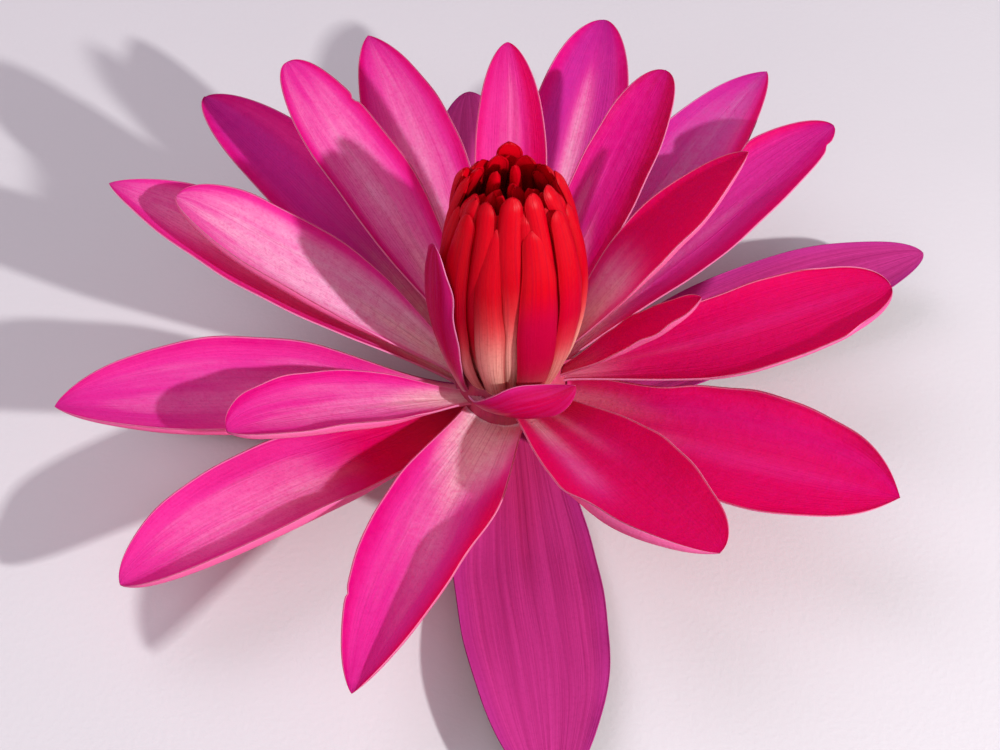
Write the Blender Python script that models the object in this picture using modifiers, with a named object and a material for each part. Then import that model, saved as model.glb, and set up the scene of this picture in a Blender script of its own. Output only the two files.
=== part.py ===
"""A red night-blooming water lily flower, picked with a short stub of its stalk and set down open.

Run with: blender --background --python part.py
Metres, +Z up. The flower stands on the cut end of its stalk and on the bowed backs of its four
sepals, all at z = 0. Four sepals and twenty-one petals leave a barrel-shaped ovary in five tiers,
and three rings of strap-shaped stamens close over its top like an urn.
"""

import math
from dataclasses import dataclass

import bmesh
import bpy
from mathutils import Vector

# ---------------------------------------------------------------- driving dimensions (metres)

MM = 0.001
AXIS_X = -2.6 * MM  # the flower's own axis lies off the middle of its outline
AXIS_Y = -2.4 * MM

FIT_GAP = 0.3 * MM  # clear space kept between pieces that touch

STALK_RADIUS = 5.0 * MM
STALK_HEIGHT = 6.2 * MM
STALK_BEVEL = 0.4 * MM

OVARY_FOOT_RADIUS = 5.2 * MM
OVARY_RADIUS = 10.5 * MM
OVARY_WAIST = 10.0 * MM  # height below which the barrel narrows to its foot
OVARY_SHOULDER = 18.0 * MM  # height above which it closes in
STIGMA_RADIUS = 6.0 * MM
STIGMA_RIM = 22.2 * MM
STIGMA_DEPTH = 1.8 * MM
KNOB_RADIUS = 1.2 * MM
TURNED_STEPS = 24

SEPAL_THICKNESS = 1.0 * MM
SEPAL_SETTLE = 0.02 * MM  # a sepal's flat facets bridge its lowest point by about this much
PETAL_THICKNESS = 0.8 * MM
STAMEN_THICKNESS = 0.7 * MM

STAMENS_IN_A_RING = 11
STRAP_RISE = 66.0  # degrees above level at which every stamen leaves the ovary

TIP_CROWDING = 1.35  # above 1, the rows of a blade's grid lie closer together towards its tip
SEPAL_GRID = (14, 6)  # cells along and across
PETAL_GRID = (11, 6)
STAMEN_GRID = (9, 2)

SWELL = 1.3  # how late a blade swells from its foot
POINT_FULLNESS = 2.2  # how long it stays full towards its tip
POINT_BLUNTNESS = 0.62  # under 1, rounder at the very tip
FINGER_END = 0.9  # share of the taper at which a finger tip starts to round off
LEAST_WIDTH = 0.05  # the tip edge, as a share of the widest part
CUP_MIDDLE = 0.4  # where along a blade its middle cup value holds


@dataclass(frozen=True)
class Tier:
    """Where one whorl leaves the ovary, and the shape that its blades share."""

    root_radius: float
    root_height: float
    thickness: float
    foot: float  # width at the root, as a share of the widest part
    widest: float  # where along its length a blade is widest
    cup: tuple[float, float, float]  # half the bend across the blade at root, middle and tip, degrees
    heel: float = 1.0  # share of the length over which the blade bends; straight beyond it
    finger: float = 0.0  # width of a blunt finger tip, as a share of the widest part; 0 is a point


SEPALS = Tier(7.0 * MM, 7.4 * MM, SEPAL_THICKNESS, 0.34, 0.50, (34, 18, 16), 0.36)
OUTER = Tier(10.6 * MM, 10.2 * MM, PETAL_THICKNESS, 0.28, 0.56, (45, 28, 26))
SECOND = Tier(11.0 * MM, 12.9 * MM, PETAL_THICKNESS, 0.26, 0.56, (45, 30, 26))
THIRD = Tier(11.0 * MM, 15.6 * MM, PETAL_THICKNESS, 0.26, 0.56, (45, 30, 26))
INNER = Tier(10.5 * MM, 18.3 * MM, PETAL_THICKNESS, 0.30, 0.56, (45, 32, 28))
CURLED = Tier(11.3 * MM, 19.0 * MM, PETAL_THICKNESS, 0.26, 0.52, (30, 38, 38))
STRAPS_OUT = Tier(9.3 * MM, 20.5 * MM, STAMEN_THICKNESS, 0.60, 0.50, (24, 16, 18), finger=0.34)
STRAPS_MID = Tier(8.2 * MM, 21.3 * MM, STAMEN_THICKNESS, 0.72, 0.50, (20, 14, 22), finger=0.46)
STRAPS_IN = Tier(7.1 * MM, 22.0 * MM, STAMEN_THICKNESS, 0.90, 0.50, (16, 14, 30), finger=0.60)


@dataclass(frozen=True)
class Blade:
    """One sepal, petal or stamen: a curved strap with a cupped cross-section."""

    name: str
    tier: Tier
    heading: float  # degrees from +X towards +Y, at the root
    length: float
    width: float
    rise: tuple[float, float]  # degrees above level, at the root and past the bend
    sweep: float = 0.0  # degrees by which the heading turns from root to tip
    roll: float = 0.0  # degrees by which the blade turns about its midrib, root to tip


def resting_droop(length: float, tip_rise: float) -> float:
    """The slope at a sepal's root, in degrees, that lets the lowest part of its back just meet z = 0."""
    drop = SEPALS.root_height - SEPALS.thickness / 2 + SEPAL_SETTLE
    shallow, steep = 0.0, math.pi / 2
    for _ in range(40):
        droop = (shallow + steep) / 2
        bend_radius = length * SEPALS.heel / (droop + math.radians(tip_rise))
        if bend_radius * (1 - math.cos(droop)) < drop:
            shallow = droop
        else:
            steep = droop
    return -math.degrees(droop)


def sepal(side: str, heading: float, length: float, width: float, tip_rise: float,
          sweep: float = 0.0) -> Blade:
    """A sepal that droops to the surface that the flower rests on, and rises again to its tip."""
    rise = (resting_droop(length, tip_rise), tip_rise)
    return Blade(f"sepal_{side}", SEPALS, heading, length, width, rise, sweep)


SEPAL_BLADES = [
    sepal("front", heading=-85, length=80 * MM, width=27 * MM, tip_rise=8),
    sepal("right", heading=34, length=90 * MM, width=24 * MM, tip_rise=11, sweep=-10),
    sepal("back", heading=96, length=86 * MM, width=24 * MM, tip_rise=14),
    sepal("left", heading=165, length=72 * MM, width=22 * MM, tip_rise=8, sweep=9),
]

PETAL_BLADES = [
    Blade("outer_petal_1", OUTER, heading=-29, length=68 * MM, width=26 * MM, rise=(17, 7), roll=16),
    Blade("outer_petal_2", OUTER, heading=52, length=81 * MM, width=20 * MM, rise=(24, 14)),
    Blade("outer_petal_3", OUTER, heading=136, length=80 * MM, width=21 * MM, rise=(25, 15)),
    Blade("outer_petal_4", OUTER, heading=-143, length=74 * MM, width=23 * MM, rise=(10, 2), roll=-6),
    Blade("second_petal_1", SECOND, heading=37, length=72 * MM, width=20 * MM, rise=(28, 22), sweep=-4),
    Blade("second_petal_2", SECOND, heading=76, length=78 * MM, width=20 * MM, rise=(25, 16)),
    Blade("second_petal_3", SECOND, heading=112, length=75 * MM, width=20 * MM, rise=(26, 18)),
    Blade("second_petal_4", SECOND, heading=165, length=75 * MM, width=22 * MM, rise=(31, 23)),
    Blade("second_petal_5", SECOND, heading=-162, length=75 * MM, width=24 * MM, rise=(17, 11),
          sweep=-3, roll=-5),
    Blade("second_petal_6", SECOND, heading=-108, length=72 * MM, width=21 * MM, rise=(15, 6)),
    Blade("third_petal_1", THIRD, heading=-62, length=59 * MM, width=23 * MM, rise=(24, 14)),
    Blade("third_petal_2", THIRD, heading=4, length=64 * MM, width=22 * MM, rise=(5, 21), sweep=4, roll=6),
    Blade("third_petal_3", THIRD, heading=58, length=59 * MM, width=15 * MM, rise=(42, 32)),
    Blade("third_petal_4", THIRD, heading=131, length=67 * MM, width=17 * MM, rise=(38, 28)),
    Blade("third_petal_5", THIRD, heading=168, length=62 * MM, width=20 * MM, rise=(38, 28)),
    Blade("third_petal_6", THIRD, heading=-146, length=52 * MM, width=18 * MM, rise=(30, 18)),
    Blade("inner_petal_1", INNER, heading=-3, length=31 * MM, width=10 * MM, rise=(46, 34), sweep=5),
    Blade("inner_petal_2", INNER, heading=25, length=53 * MM, width=15 * MM, rise=(49, 47), sweep=-4),
    Blade("inner_petal_3", INNER, heading=91, length=55 * MM, width=15 * MM, rise=(64, 52)),
    Blade("inner_petal_4", INNER, heading=205, length=38 * MM, width=11 * MM, rise=(69, 98)),
    Blade("curled_petal", CURLED, heading=-122, length=12 * MM, width=9 * MM, rise=(40, 90), sweep=74, roll=-60),
]


def ring(name: str, tier: Tier, first: float, length: float, width: float, tip_rise: float) -> list[Blade]:
    """One ring of stamens, evenly spaced, the first of them at the given heading."""
    headings = [first + i * 360 / STAMENS_IN_A_RING for i in range(STAMENS_IN_A_RING)]
    return [
        Blade(f"{name}_{i:02d}", tier, heading, length, width, (STRAP_RISE, tip_rise))
        for i, heading in enumerate(headings, start=1)
    ]


STAMEN_BLADES = (
    ring("outer_stamen", STRAPS_OUT, first=-74, length=43 * MM, width=7.4 * MM, tip_rise=114)
    + ring("middle_stamen", STRAPS_MID, first=-90, length=47 * MM, width=5.4 * MM, tip_rise=119)
    + ring("inner_stamen", STRAPS_IN, first=-74, length=44 * MM, width=3.6 * MM, tip_rise=120)
)

# ---------------------------------------------------------------- scene and materials


def clear_scene() -> None:
    """Removes every object of the open scene."""
    for obj in list(bpy.data.objects):
        bpy.data.objects.remove(obj, do_unlink=True)


def new_collection(name: str) -> bpy.types.Collection:
    """Adds a collection to the scene."""
    made = bpy.data.collections.new(name)
    bpy.context.scene.collection.children.link(made)
    return made


def finish(name: str, colour: tuple[float, float, float], roughness: float) -> bpy.types.Material:
    """Makes a plain Principled material."""
    made = bpy.data.materials.new(name)
    made.use_nodes = True
    shader = made.node_tree.nodes["Principled BSDF"]
    shader.inputs["Base Color"].default_value = (*colour, 1.0)
    shader.inputs["Roughness"].default_value = roughness
    shader.inputs["Metallic"].default_value = 0.0
    made.diffuse_color = (*colour, 1.0)
    return made


STALK_GREEN = (0.16, 0.11, 0.05)
OVARY_GREEN = (0.30, 0.22, 0.06)
SEPAL_PURPLE = (0.42, 0.05, 0.22)
PETAL_PINK = (0.76, 0.07, 0.33)
STAMEN_RED = (0.66, 0.01, 0.02)


# ---------------------------------------------------------------- blades


def width_share(along: float, tier: Tier) -> float:
    """Half-width at a share of the length: a rise from the foot, then a rounded point."""
    if along < tier.widest:
        return tier.foot + (1 - tier.foot) * math.sin(along / tier.widest * math.pi / 2) ** SWELL
    past = (along - tier.widest) / (1 - tier.widest)
    point = (1 - past**POINT_FULLNESS) ** POINT_BLUNTNESS
    end = max((past - FINGER_END) / (1 - FINGER_END), 0.0)
    return max(tier.finger + (1 - tier.finger) * point - tier.finger / 2 * end**2, LEAST_WIDTH)


def cup_bend(along: float, tier: Tier) -> float:
    """Half the angle through which the blade bends across its width, in radians."""
    root, middle, tip = tier.cup
    if along < CUP_MIDDLE:
        return math.radians(root + (middle - root) * along / CUP_MIDDLE)
    return math.radians(middle + (tip - middle) * (along - CUP_MIDDLE) / (1 - CUP_MIDDLE))


def midrib(blade: Blade, along: float) -> tuple[Vector, float, float]:
    """The midrib's point, rise and heading: one arc up to the end of the heel, then a straight run."""
    tier = blade.tier
    start, end = (math.radians(angle) for angle in blade.rise)
    turn = (end - start) / tier.heel
    bent = min(along, tier.heel)
    rise = start + turn * bent
    reach = (math.sin(rise) - math.sin(start)) / turn + (along - bent) * math.cos(rise)
    climb = (math.cos(start) - math.cos(rise)) / turn + (along - bent) * math.sin(rise)
    heading = math.radians(blade.heading + blade.sweep * along)
    radius = tier.root_radius + blade.length * reach
    height = tier.root_height + blade.length * climb
    point = Vector((AXIS_X + radius * math.cos(heading), AXIS_Y + radius * math.sin(heading), height))
    return point, rise, heading


def blade_point(blade: Blade, along: float, side: float) -> Vector:
    """A point of the blade's middle surface. The side runs from -1 to 1 across it."""
    point, rise, heading = midrib(blade, along)
    step = 1e-3
    before, after = (midrib(blade, min(max(along + s, 0), 1))[0] for s in (-step, step))
    forward = (after - before).normalized()
    outward = Vector((math.cos(heading), math.sin(heading), 0.0))
    lean = Vector((0.0, 0.0, math.cos(rise))) - outward * math.sin(rise)
    across = lean.cross(forward).normalized()
    upward = forward.cross(across)
    roll = math.radians(blade.roll * along)
    across, upward = (
        across * math.cos(roll) + upward * math.sin(roll),
        upward * math.cos(roll) - across * math.sin(roll),
    )
    bend = cup_bend(along, blade.tier)
    half = blade.width / 2 * width_share(along, blade.tier)
    out = half * math.sin(bend * side) / bend
    lift = half * (1 - math.cos(bend * side)) / bend
    return point + across * out + upward * lift


def add_blade(blade: Blade, cells: tuple[int, int], skin: bpy.types.Material,
              home: bpy.types.Collection) -> None:
    """A flat grid bent into the blade's middle surface, thickened evenly to both sides."""
    mesh = bpy.data.meshes.new(blade.name)
    work = bmesh.new()
    bmesh.ops.create_grid(work, x_segments=cells[0], y_segments=cells[1], size=1.0)
    for vertex in work.verts:
        along = 1 - ((1 - vertex.co.x) / 2) ** TIP_CROWDING
        vertex.co = blade_point(blade, along, vertex.co.y)
    for face in work.faces:
        face.smooth = True
    work.to_mesh(mesh)
    work.free()
    mesh.materials.append(skin)
    obj = bpy.data.objects.new(blade.name, mesh)
    home.objects.link(obj)
    wall = obj.modifiers.new("Thickness", "SOLIDIFY")
    wall.thickness = blade.tier.thickness
    wall.offset = 0.0


# ---------------------------------------------------------------- turned pieces


def add_turned(name: str, profile: list[tuple[float, float]], skin: bpy.types.Material,
               home: bpy.types.Collection) -> None:
    """Turns a profile of (radius, height) about the flower's axis. It runs down the outer side."""
    mesh = bpy.data.meshes.new(name)
    edges = [(i, i + 1) for i in range(len(profile) - 1)]
    mesh.from_pydata([(radius, 0.0, height) for radius, height in profile], edges, [])
    mesh.materials.append(skin)
    obj = bpy.data.objects.new(name, mesh)
    obj.location = (AXIS_X, AXIS_Y, 0.0)
    home.objects.link(obj)
    turn = obj.modifiers.new("Turn", "SCREW")
    turn.steps = turn.render_steps = TURNED_STEPS
    turn.use_merge_vertices = True
    turn.merge_threshold = 0.00001
    turn.use_smooth_shade = True


def stalk_profile() -> list[tuple[float, float]]:
    """A short stub with a flat cut end."""
    return [
        (0.0, STALK_HEIGHT),
        (STALK_RADIUS, STALK_HEIGHT),
        (STALK_RADIUS, STALK_BEVEL),
        (STALK_RADIUS - STALK_BEVEL, 0.0),
        (0.0, 0.0),
    ]


def ovary_profile() -> list[tuple[float, float]]:
    """A barrel with sloping shoulders for the stamens and a dished stigma round a small knob."""
    foot = STALK_HEIGHT + FIT_GAP
    return [
        (0.0, STIGMA_RIM - STIGMA_DEPTH + KNOB_RADIUS),
        (KNOB_RADIUS * 0.8, STIGMA_RIM - STIGMA_DEPTH + KNOB_RADIUS * 0.6),
        (KNOB_RADIUS, STIGMA_RIM - STIGMA_DEPTH),
        (STIGMA_RADIUS * 0.6, STIGMA_RIM - STIGMA_DEPTH * 0.75),
        (STIGMA_RADIUS, STIGMA_RIM),
        (STIGMA_RADIUS + 0.6 * MM, STIGMA_RIM - 0.3 * MM),
        (OVARY_RADIUS - 1.1 * MM, OVARY_SHOULDER + 1.6 * MM),
        (OVARY_RADIUS - 0.6 * MM, OVARY_SHOULDER),
        (OVARY_RADIUS, OVARY_SHOULDER - 2.0 * MM),
        (OVARY_RADIUS, OVARY_WAIST + 2.5 * MM),
        (OVARY_RADIUS - 0.9 * MM, OVARY_WAIST),
        (OVARY_RADIUS - 3.5 * MM, OVARY_WAIST - 2.0 * MM),
        (OVARY_FOOT_RADIUS, foot),
        (0.0, foot),
    ]


def main() -> None:
    """Builds the flower."""
    clear_scene()
    flower = new_collection("water_lily_flower")
    add_turned("stalk", stalk_profile(), finish("stalk", STALK_GREEN, 0.6), flower)
    add_turned("ovary", ovary_profile(), finish("ovary", OVARY_GREEN, 0.5), flower)
    for blade in SEPAL_BLADES:
        add_blade(blade, SEPAL_GRID, finish(blade.name, SEPAL_PURPLE, 0.5), flower)
    for blade in PETAL_BLADES:
        add_blade(blade, PETAL_GRID, finish(blade.name, PETAL_PINK, 0.45), flower)
    for blade in STAMEN_BLADES:
        add_blade(blade, STAMEN_GRID, finish(blade.name, STAMEN_RED, 0.3), flower)


main()
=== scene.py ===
"""The finished look of a red night-blooming water lily flower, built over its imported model.

Metres, +Z up. Every sepal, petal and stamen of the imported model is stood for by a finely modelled
blade that follows it, with a tapering wall, its own tip, folds and rolled margins. The ovary, the
stigma and the cut stalk are modelled afresh, and the dark stamens that close the inside of the urn
are added.
"""

import logging
import math
from collections.abc import Callable, Sequence
from dataclasses import dataclass, replace
from enum import Enum
from typing import NamedTuple

import bpy
import numpy as np
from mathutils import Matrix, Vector


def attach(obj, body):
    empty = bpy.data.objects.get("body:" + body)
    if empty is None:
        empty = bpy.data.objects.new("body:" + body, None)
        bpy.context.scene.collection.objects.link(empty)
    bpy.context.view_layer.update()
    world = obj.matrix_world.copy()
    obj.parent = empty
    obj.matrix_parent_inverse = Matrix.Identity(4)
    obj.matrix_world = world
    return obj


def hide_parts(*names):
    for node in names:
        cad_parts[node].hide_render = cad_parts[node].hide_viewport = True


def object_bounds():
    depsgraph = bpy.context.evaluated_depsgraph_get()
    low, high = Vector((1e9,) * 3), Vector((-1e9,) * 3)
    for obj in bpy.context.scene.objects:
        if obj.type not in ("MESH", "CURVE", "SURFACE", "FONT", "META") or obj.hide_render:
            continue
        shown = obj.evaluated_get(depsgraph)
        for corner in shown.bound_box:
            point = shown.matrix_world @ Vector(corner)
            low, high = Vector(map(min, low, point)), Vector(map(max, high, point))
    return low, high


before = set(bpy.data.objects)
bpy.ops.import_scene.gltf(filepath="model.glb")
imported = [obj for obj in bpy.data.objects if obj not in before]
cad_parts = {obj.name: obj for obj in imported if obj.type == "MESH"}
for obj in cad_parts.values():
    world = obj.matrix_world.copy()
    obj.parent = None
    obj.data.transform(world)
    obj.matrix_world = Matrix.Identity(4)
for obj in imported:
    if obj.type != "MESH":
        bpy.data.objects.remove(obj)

CAD_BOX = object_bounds()
LOG = logging.getLogger("water_lily")
BODY = "root"

# ---------------------------------------------------------------- driving dimensions (metres)

MM = 0.001
AXIS = np.array((-2.6 * MM, -2.4 * MM, 0.0))  # the flower's own axis, off the middle of its outline
ROOT_TUCK = 1.1 * MM  # how far a blade's root runs into the ovary's wall
SWAY = 0.5 * MM  # how far a blade's midrib wanders sideways

# ---------------------------------------------------------------- shares that shape every blade

SWELL = 1.3  # how late a blade swells from its foot
FLARE_REACH = 0.32  # share of the length over which a flared foot narrows
FINGER_END = 0.9  # share of the taper at which a finger tip starts to round off
BEAK_REACH = 0.06  # share of the taper over which a beaked tip narrows
LEAST_WIDTH = 0.008  # the half-width that the very tip keeps, as a share of the widest
CUP_MIDDLE = 0.4  # where along a blade its middle cup value holds
KEEL_ONSET = (0.05, 0.4)  # from where to where along a blade its keel forms
KEEL_BREADTH = 0.09  # how sharply a keeled blade turns at its midrib, as a share of its half-width
CREASE_WANDER = 0.05  # how far a furrow wanders across, as a share of the half-width
ROLL_EASE = 1.3  # above 1, a margin starts to roll gently
HOOK_SPAN = (0.62, 1.1)  # from where to where along a blade its tip leans sideways
HOOK_EASE = 1.5  # above 1, it starts to lean gently
NEAR_MARGIN = 4  # the power of the distance from the midrib that keeps nicks and waves at the margin
UNEVEN_EDGE = 0.009  # how far a margin strays from its smooth outline
EDGE_HOLD = (0.1, 0.4)  # from where to where along a blade its margins grow free to stray
WAVE_HOLD = (0.15, 0.6)  # from where to where along a blade it grows free to wave and wander
ROLL_LEAD = 0.08  # how far before a roll its margin starts to broaden
RIBS = 9  # fine furrows down a blade's inner face
RIB_DEPTH = 0.16  # their depth as a share of the wall
RIB_REACH = 0.85  # how far from the midrib they lie at most
RIB_BREADTHS = (0.03, 0.07)  # the narrowest and the broadest, as shares of the half-width
RIB_STRENGTHS = (0.4, 1.0)  # the faintest and the deepest
RIB_FADE = (0.1, 0.85)  # from where to where along a blade they fade
CREASE_START, CREASE_END = 0.1, 0.15  # over what share of the length a furrow deepens, and fades again
BAND_FADE = 0.3  # over what share of the length a band of colour comes and goes
ROOT_WALL = 1.08  # the wall at the root, as a share of the tier's thickness
WALL_LOSS = 0.35  # how much of the tier's thickness is lost by the tip
TIP_SWELLING = (0.55, 0.93)  # from where to where along a stamen its wall thickens
CLOSING_START = 0.94  # share of the length past which the wall closes to a thin tip
CLOSING = 0.94  # how much of the wall's thickness, squared, is lost there
EDGE_ROUND = 0.9  # how far a rounded margin stands out, as a share of half the wall
TIP_CROWDING = 1.5  # above 1, rows lie closer together towards a blade's tip
EDGE_CROWDING = 0.86  # share of a quarter wave that spreads the columns; nearer 1, denser at the margins
STEP = 1e-3  # share of the length used to find a blade's direction

BLADE_NUMBERS = 9973  # how many numbers of their own the blades can have
PATTERNS = 97  # how many patterns of veins and clouds those numbers choose from
# Added to a blade's own number, so that each kind of irregularity is drawn apart from the others.
RIB_DRAW, SWAY_DRAW, EDGE_DRAW, WAVE_DRAW, CREASE_DRAW = 1, 3, 5, 11, 40
# How many waves each has over the length.
SWAY_WAVES, EDGE_WAVES, WAVE_WAVES, CREASE_WAVES = 1.2, 5.0, 4.0, 1.5

Socket = bpy.types.NodeSocket
Outputs = bpy.types.NodeOutputs
Value = float | int | bool | str | tuple[float, ...] | bpy.types.NodeSocket
Colour = tuple[float, float, float, float]
Span = tuple[float, float]


def rgb(code: str) -> Colour:
    """A linear colour from its usual six-digit code.

    Args:
        code: red, green and blue, two hexadecimal digits each.

    Returns:
        Linear red, green, blue and 1.
    """
    parts = [int(code[i : i + 2], 16) / 255 for i in (0, 2, 4)]
    linear = [p / 12.92 if p <= 0.04045 else ((p + 0.055) / 1.055) ** 2.4 for p in parts]
    return (*linear, 1.0)


def ripple(seed: int, where: np.ndarray, waves: float = 3.0) -> np.ndarray:
    """A smooth irregular curve between about -1 and 1.

    Args:
        seed: which curve.
        where: positions, 0 to 1 over the length.
        waves: about how many waves there are over that length.

    Returns:
        The curve's value at each position.
    """
    draw = np.random.default_rng(seed)
    total = np.zeros_like(where)
    for weight in (1.0, 0.6, 0.4):
        total = total + weight * np.sin(
            2 * np.pi * waves * draw.uniform(0.4, 1.3) * where + draw.uniform(0, 2 * np.pi)
        )
    return total / 1.6


def smooth(value: np.ndarray, low: float, high: float) -> np.ndarray:
    """0 below low, 1 above high, and an S-shaped rise between them."""
    share = np.clip((value - low) / (high - low), 0.0, 1.0)
    return share * share * (3 - 2 * share)


def hump(value: np.ndarray, middle: np.ndarray | float, breadth: float) -> np.ndarray:
    """A bell-shaped bump of height 1."""
    return np.exp(-(((value - middle) / breadth) ** 2))


# ---------------------------------------------------------------- node trees


class Graph:
    """A node tree under construction, with short ways to add nodes and join them."""

    def __init__(self, tree: bpy.types.NodeTree) -> None:
        """Starts on a tree.

        Args:
            tree: the tree that nodes are added to.
        """
        self.tree = tree

    def node(self, kind: str, **settings: object) -> bpy.types.Node:
        """Adds a node and sets its own settings.

        Args:
            kind: Blender's name for the node's type.
            settings: the node's properties by name.

        Returns:
            The new node.
        """
        made = self.tree.nodes.new(kind)
        for name, value in settings.items():
            setattr(made, name, value)
        return made

    def feed(self, socket: Socket, value: Value) -> None:
        """Links a socket to an input, or sets the input to a plain value.

        Args:
            socket: the input.
            value: another node's output, or a value.
        """
        if isinstance(value, bpy.types.NodeSocket):
            self.tree.links.new(value, socket)
        else:
            socket.default_value = value

    def fill(self, node: bpy.types.Node, **values: Value) -> bpy.types.Node:
        """Feeds a node's inputs by name, with an underscore for each space.

        Args:
            node: the node.
            values: a value or an output for each named input.

        Returns:
            The same node.
        """
        for name, value in values.items():
            self.feed(node.inputs[name.replace("_", " ")], value)
        return node

    def plain(self, kind: str, **values: Value) -> Socket:
        """Adds a node that keeps its usual settings.

        Args:
            kind: Blender's name for the node's type.
            values: its inputs by name, with an underscore for each space.

        Returns:
            Its first output.
        """
        return self.fill(self.node(kind), **values).outputs[0]

    def maths(self, operation: str, *values: Value) -> Socket:
        """Adds a Math node.

        Args:
            operation: its operation.
            values: its inputs in order.

        Returns:
            Its result.
        """
        made = self.node("ShaderNodeMath", operation=operation)
        for socket, value in zip(made.inputs, values):
            self.feed(socket, value)
        return made.outputs[0]

    def times(self, first: Value, second: Value) -> Socket:
        """One number multiplied by another."""
        return self.maths("MULTIPLY", first, second)

    def less(self, first: Value, second: Value) -> Socket:
        """The second number taken from the first."""
        return self.maths("SUBTRACT", first, second)

    def total(self, *parts: tuple[Value, float]) -> Socket:
        """The sum of several numbers, each with its weight."""
        (first, weight), *others = parts
        result = self.times(first, weight)
        for value, weight in others:
            result = self.maths("MULTIPLY_ADD", value, weight, result)
        return result

    def step(self, value: Value, low: Value, high: Value) -> Socket:
        """0 at low, 1 at high, level beyond them, and an S-shaped change between them."""
        made = self.node("ShaderNodeMapRange", interpolation_type="SMOOTHSTEP")
        self.fill(made, Value=value, From_Min=low, From_Max=high)
        return made.outputs["Result"]

    def tint(self, share: Value, first: Value, second: Value) -> Socket:
        """Mixes two colours.

        Args:
            share: how much of the second, 0 to 1.
            first: the colour at 0.
            second: the colour at 1.

        Returns:
            The mixed colour.
        """
        made = self.node("ShaderNodeMix", data_type="RGBA")
        for index, value in ((0, share), (6, first), (7, second)):
            self.feed(made.inputs[index], value)
        return made.outputs[2]

    def ladder(self, value: Value, base: Value, *rungs: tuple[Value, Value, Value]) -> Socket:
        """Takes a colour through others as a number changes.

        Args:
            value: the number.
            base: the first colour.
            rungs: for each further colour, where it starts, where it is full, and the colour.

        Returns:
            The colour.
        """
        for low, high, colour in rungs:
            base = self.tint(self.step(value, low, high), base, colour)
        return base

    def washes(self, base: Value, *coats: tuple[Value, Value, Value]) -> Socket:
        """Lays colours over one another.

        Args:
            base: the lowest colour.
            coats: for each colour over it, its mask, its strength and the colour.

        Returns:
            The colour.
        """
        for mask, strength, colour in coats:
            base = self.tint(self.times(mask, strength), base, colour)
        return base

    def vector(self, x: Value, y: Value, z: Value = 0.0) -> Socket:
        """Joins three numbers into a vector."""
        return self.plain("ShaderNodeCombineXYZ", X=x, Y=y, Z=z)

    def parts(self, vector: Socket) -> Outputs:
        """The three numbers of a vector."""
        return self.fill(self.node("ShaderNodeSeparateXYZ"), Vector=vector).outputs

    def mark(self, name: str) -> Outputs:
        """The three numbers of a mark that the mesh carries."""
        return self.parts(self.node("ShaderNodeAttribute", attribute_name=name).outputs["Vector"])

    def place(self) -> Socket:
        """The coordinates of the piece itself."""
        return self.node("ShaderNodeTexCoord").outputs["Object"]

    def noise(self, where: Value, scale: Value, detail: float = 2.0, rough: float = 0.5) -> Socket:
        """Fractal noise between 0 and 1.

        Args:
            where: the coordinates.
            scale: waves in each unit of them.
            detail: how many finer layers.
            rough: how strong the finer layers are.

        Returns:
            The noise.
        """
        made = self.node("ShaderNodeTexNoise", noise_dimensions="3D")
        return self.fill(made, Vector=where, Scale=scale, Detail=detail, Roughness=rough).outputs[0]

    def effect(self, made: "Effect", **values: Value) -> Outputs:
        """Places a shared effect in this tree.

        Args:
            made: the effect.
            values: its inputs by name, with an underscore for each space.

        Returns:
            Its outputs.
        """
        return self.fill(self.node("ShaderNodeGroup", node_tree=made.tree()), **values).outputs


class Effect:
    """A shader node group that several finishes use, built once."""

    name = ""
    inputs: dict[str, float] = {}
    outputs: tuple[str, ...] = ()

    def wire(self, graph: Graph, given: Outputs) -> dict[str, Value]:
        """Adds the effect's nodes.

        Args:
            graph: the group's tree.
            given: the group's inputs by name.

        Returns:
            What each of the group's outputs gives.
        """
        raise NotImplementedError

    def tree(self) -> bpy.types.NodeTree:
        """The group, built the first time it is asked for."""
        found = bpy.data.node_groups.get(self.name)
        if found is not None:
            return found
        tree = bpy.data.node_groups.new(self.name, "ShaderNodeTree")
        for name, default in self.inputs.items():
            socket = tree.interface.new_socket(name, in_out="INPUT", socket_type="NodeSocketFloat")
            socket.default_value = default
        for name in self.outputs:
            tree.interface.new_socket(name, in_out="OUTPUT", socket_type="NodeSocketFloat")
        graph = Graph(tree)
        given = graph.node("NodeGroupInput").outputs
        graph.fill(graph.node("NodeGroupOutput"), **self.wire(graph, given))
        return tree


class BladePlace(Effect):
    """Where on a blade a point lies, read from the marks that the blade's mesh carries."""

    name = "blade_place"
    outputs = ("Side", "Reach", "Along", "Upper", "Flush", "Seed", "Warmth")

    def wire(self, graph: Graph, given: Outputs) -> dict[str, Value]:
        """Splits the two marks into their numbers."""
        place, tone = graph.mark("place"), graph.mark("tone")
        return {
            "Side": place[0],
            "Reach": graph.maths("ABSOLUTE", place[0]),
            "Along": place[1],
            "Upper": place[2],
            "Flush": tone[0],
            "Seed": tone[1],
            "Warmth": tone[2],
        }


class Veins(Effect):
    """Lines that run the length of a blade and draw together at its foot and tip."""

    name = "lengthwise_veins"
    inputs = {
        "Side": 0.0, "Along": 0.0, "Seed": 0.0, "Count": 12.0, "Stretch": 1.5, "Low": 0.45, "High": 0.65,
    }
    outputs = ("Mask", "Ridge")

    def wire(self, graph: Graph, given: Outputs) -> dict[str, Value]:
        """Noise stretched along the blade, wandering a little to each side."""
        side, along = given["Side"], given["Along"]
        seed = graph.times(given["Seed"], 31.0)
        bent = graph.noise(graph.vector(side, graph.times(along, 2.2), seed), 1.0, 1.0)
        across = graph.maths("ADD", graph.times(side, given["Count"]), graph.times(bent, 1.6))
        where = graph.vector(across, graph.times(along, given["Stretch"]), seed)
        lines = graph.noise(where, 1.0, 3.0, 0.55)
        return {"Mask": graph.step(lines, given["Low"], given["High"]), "Ridge": lines}


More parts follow.
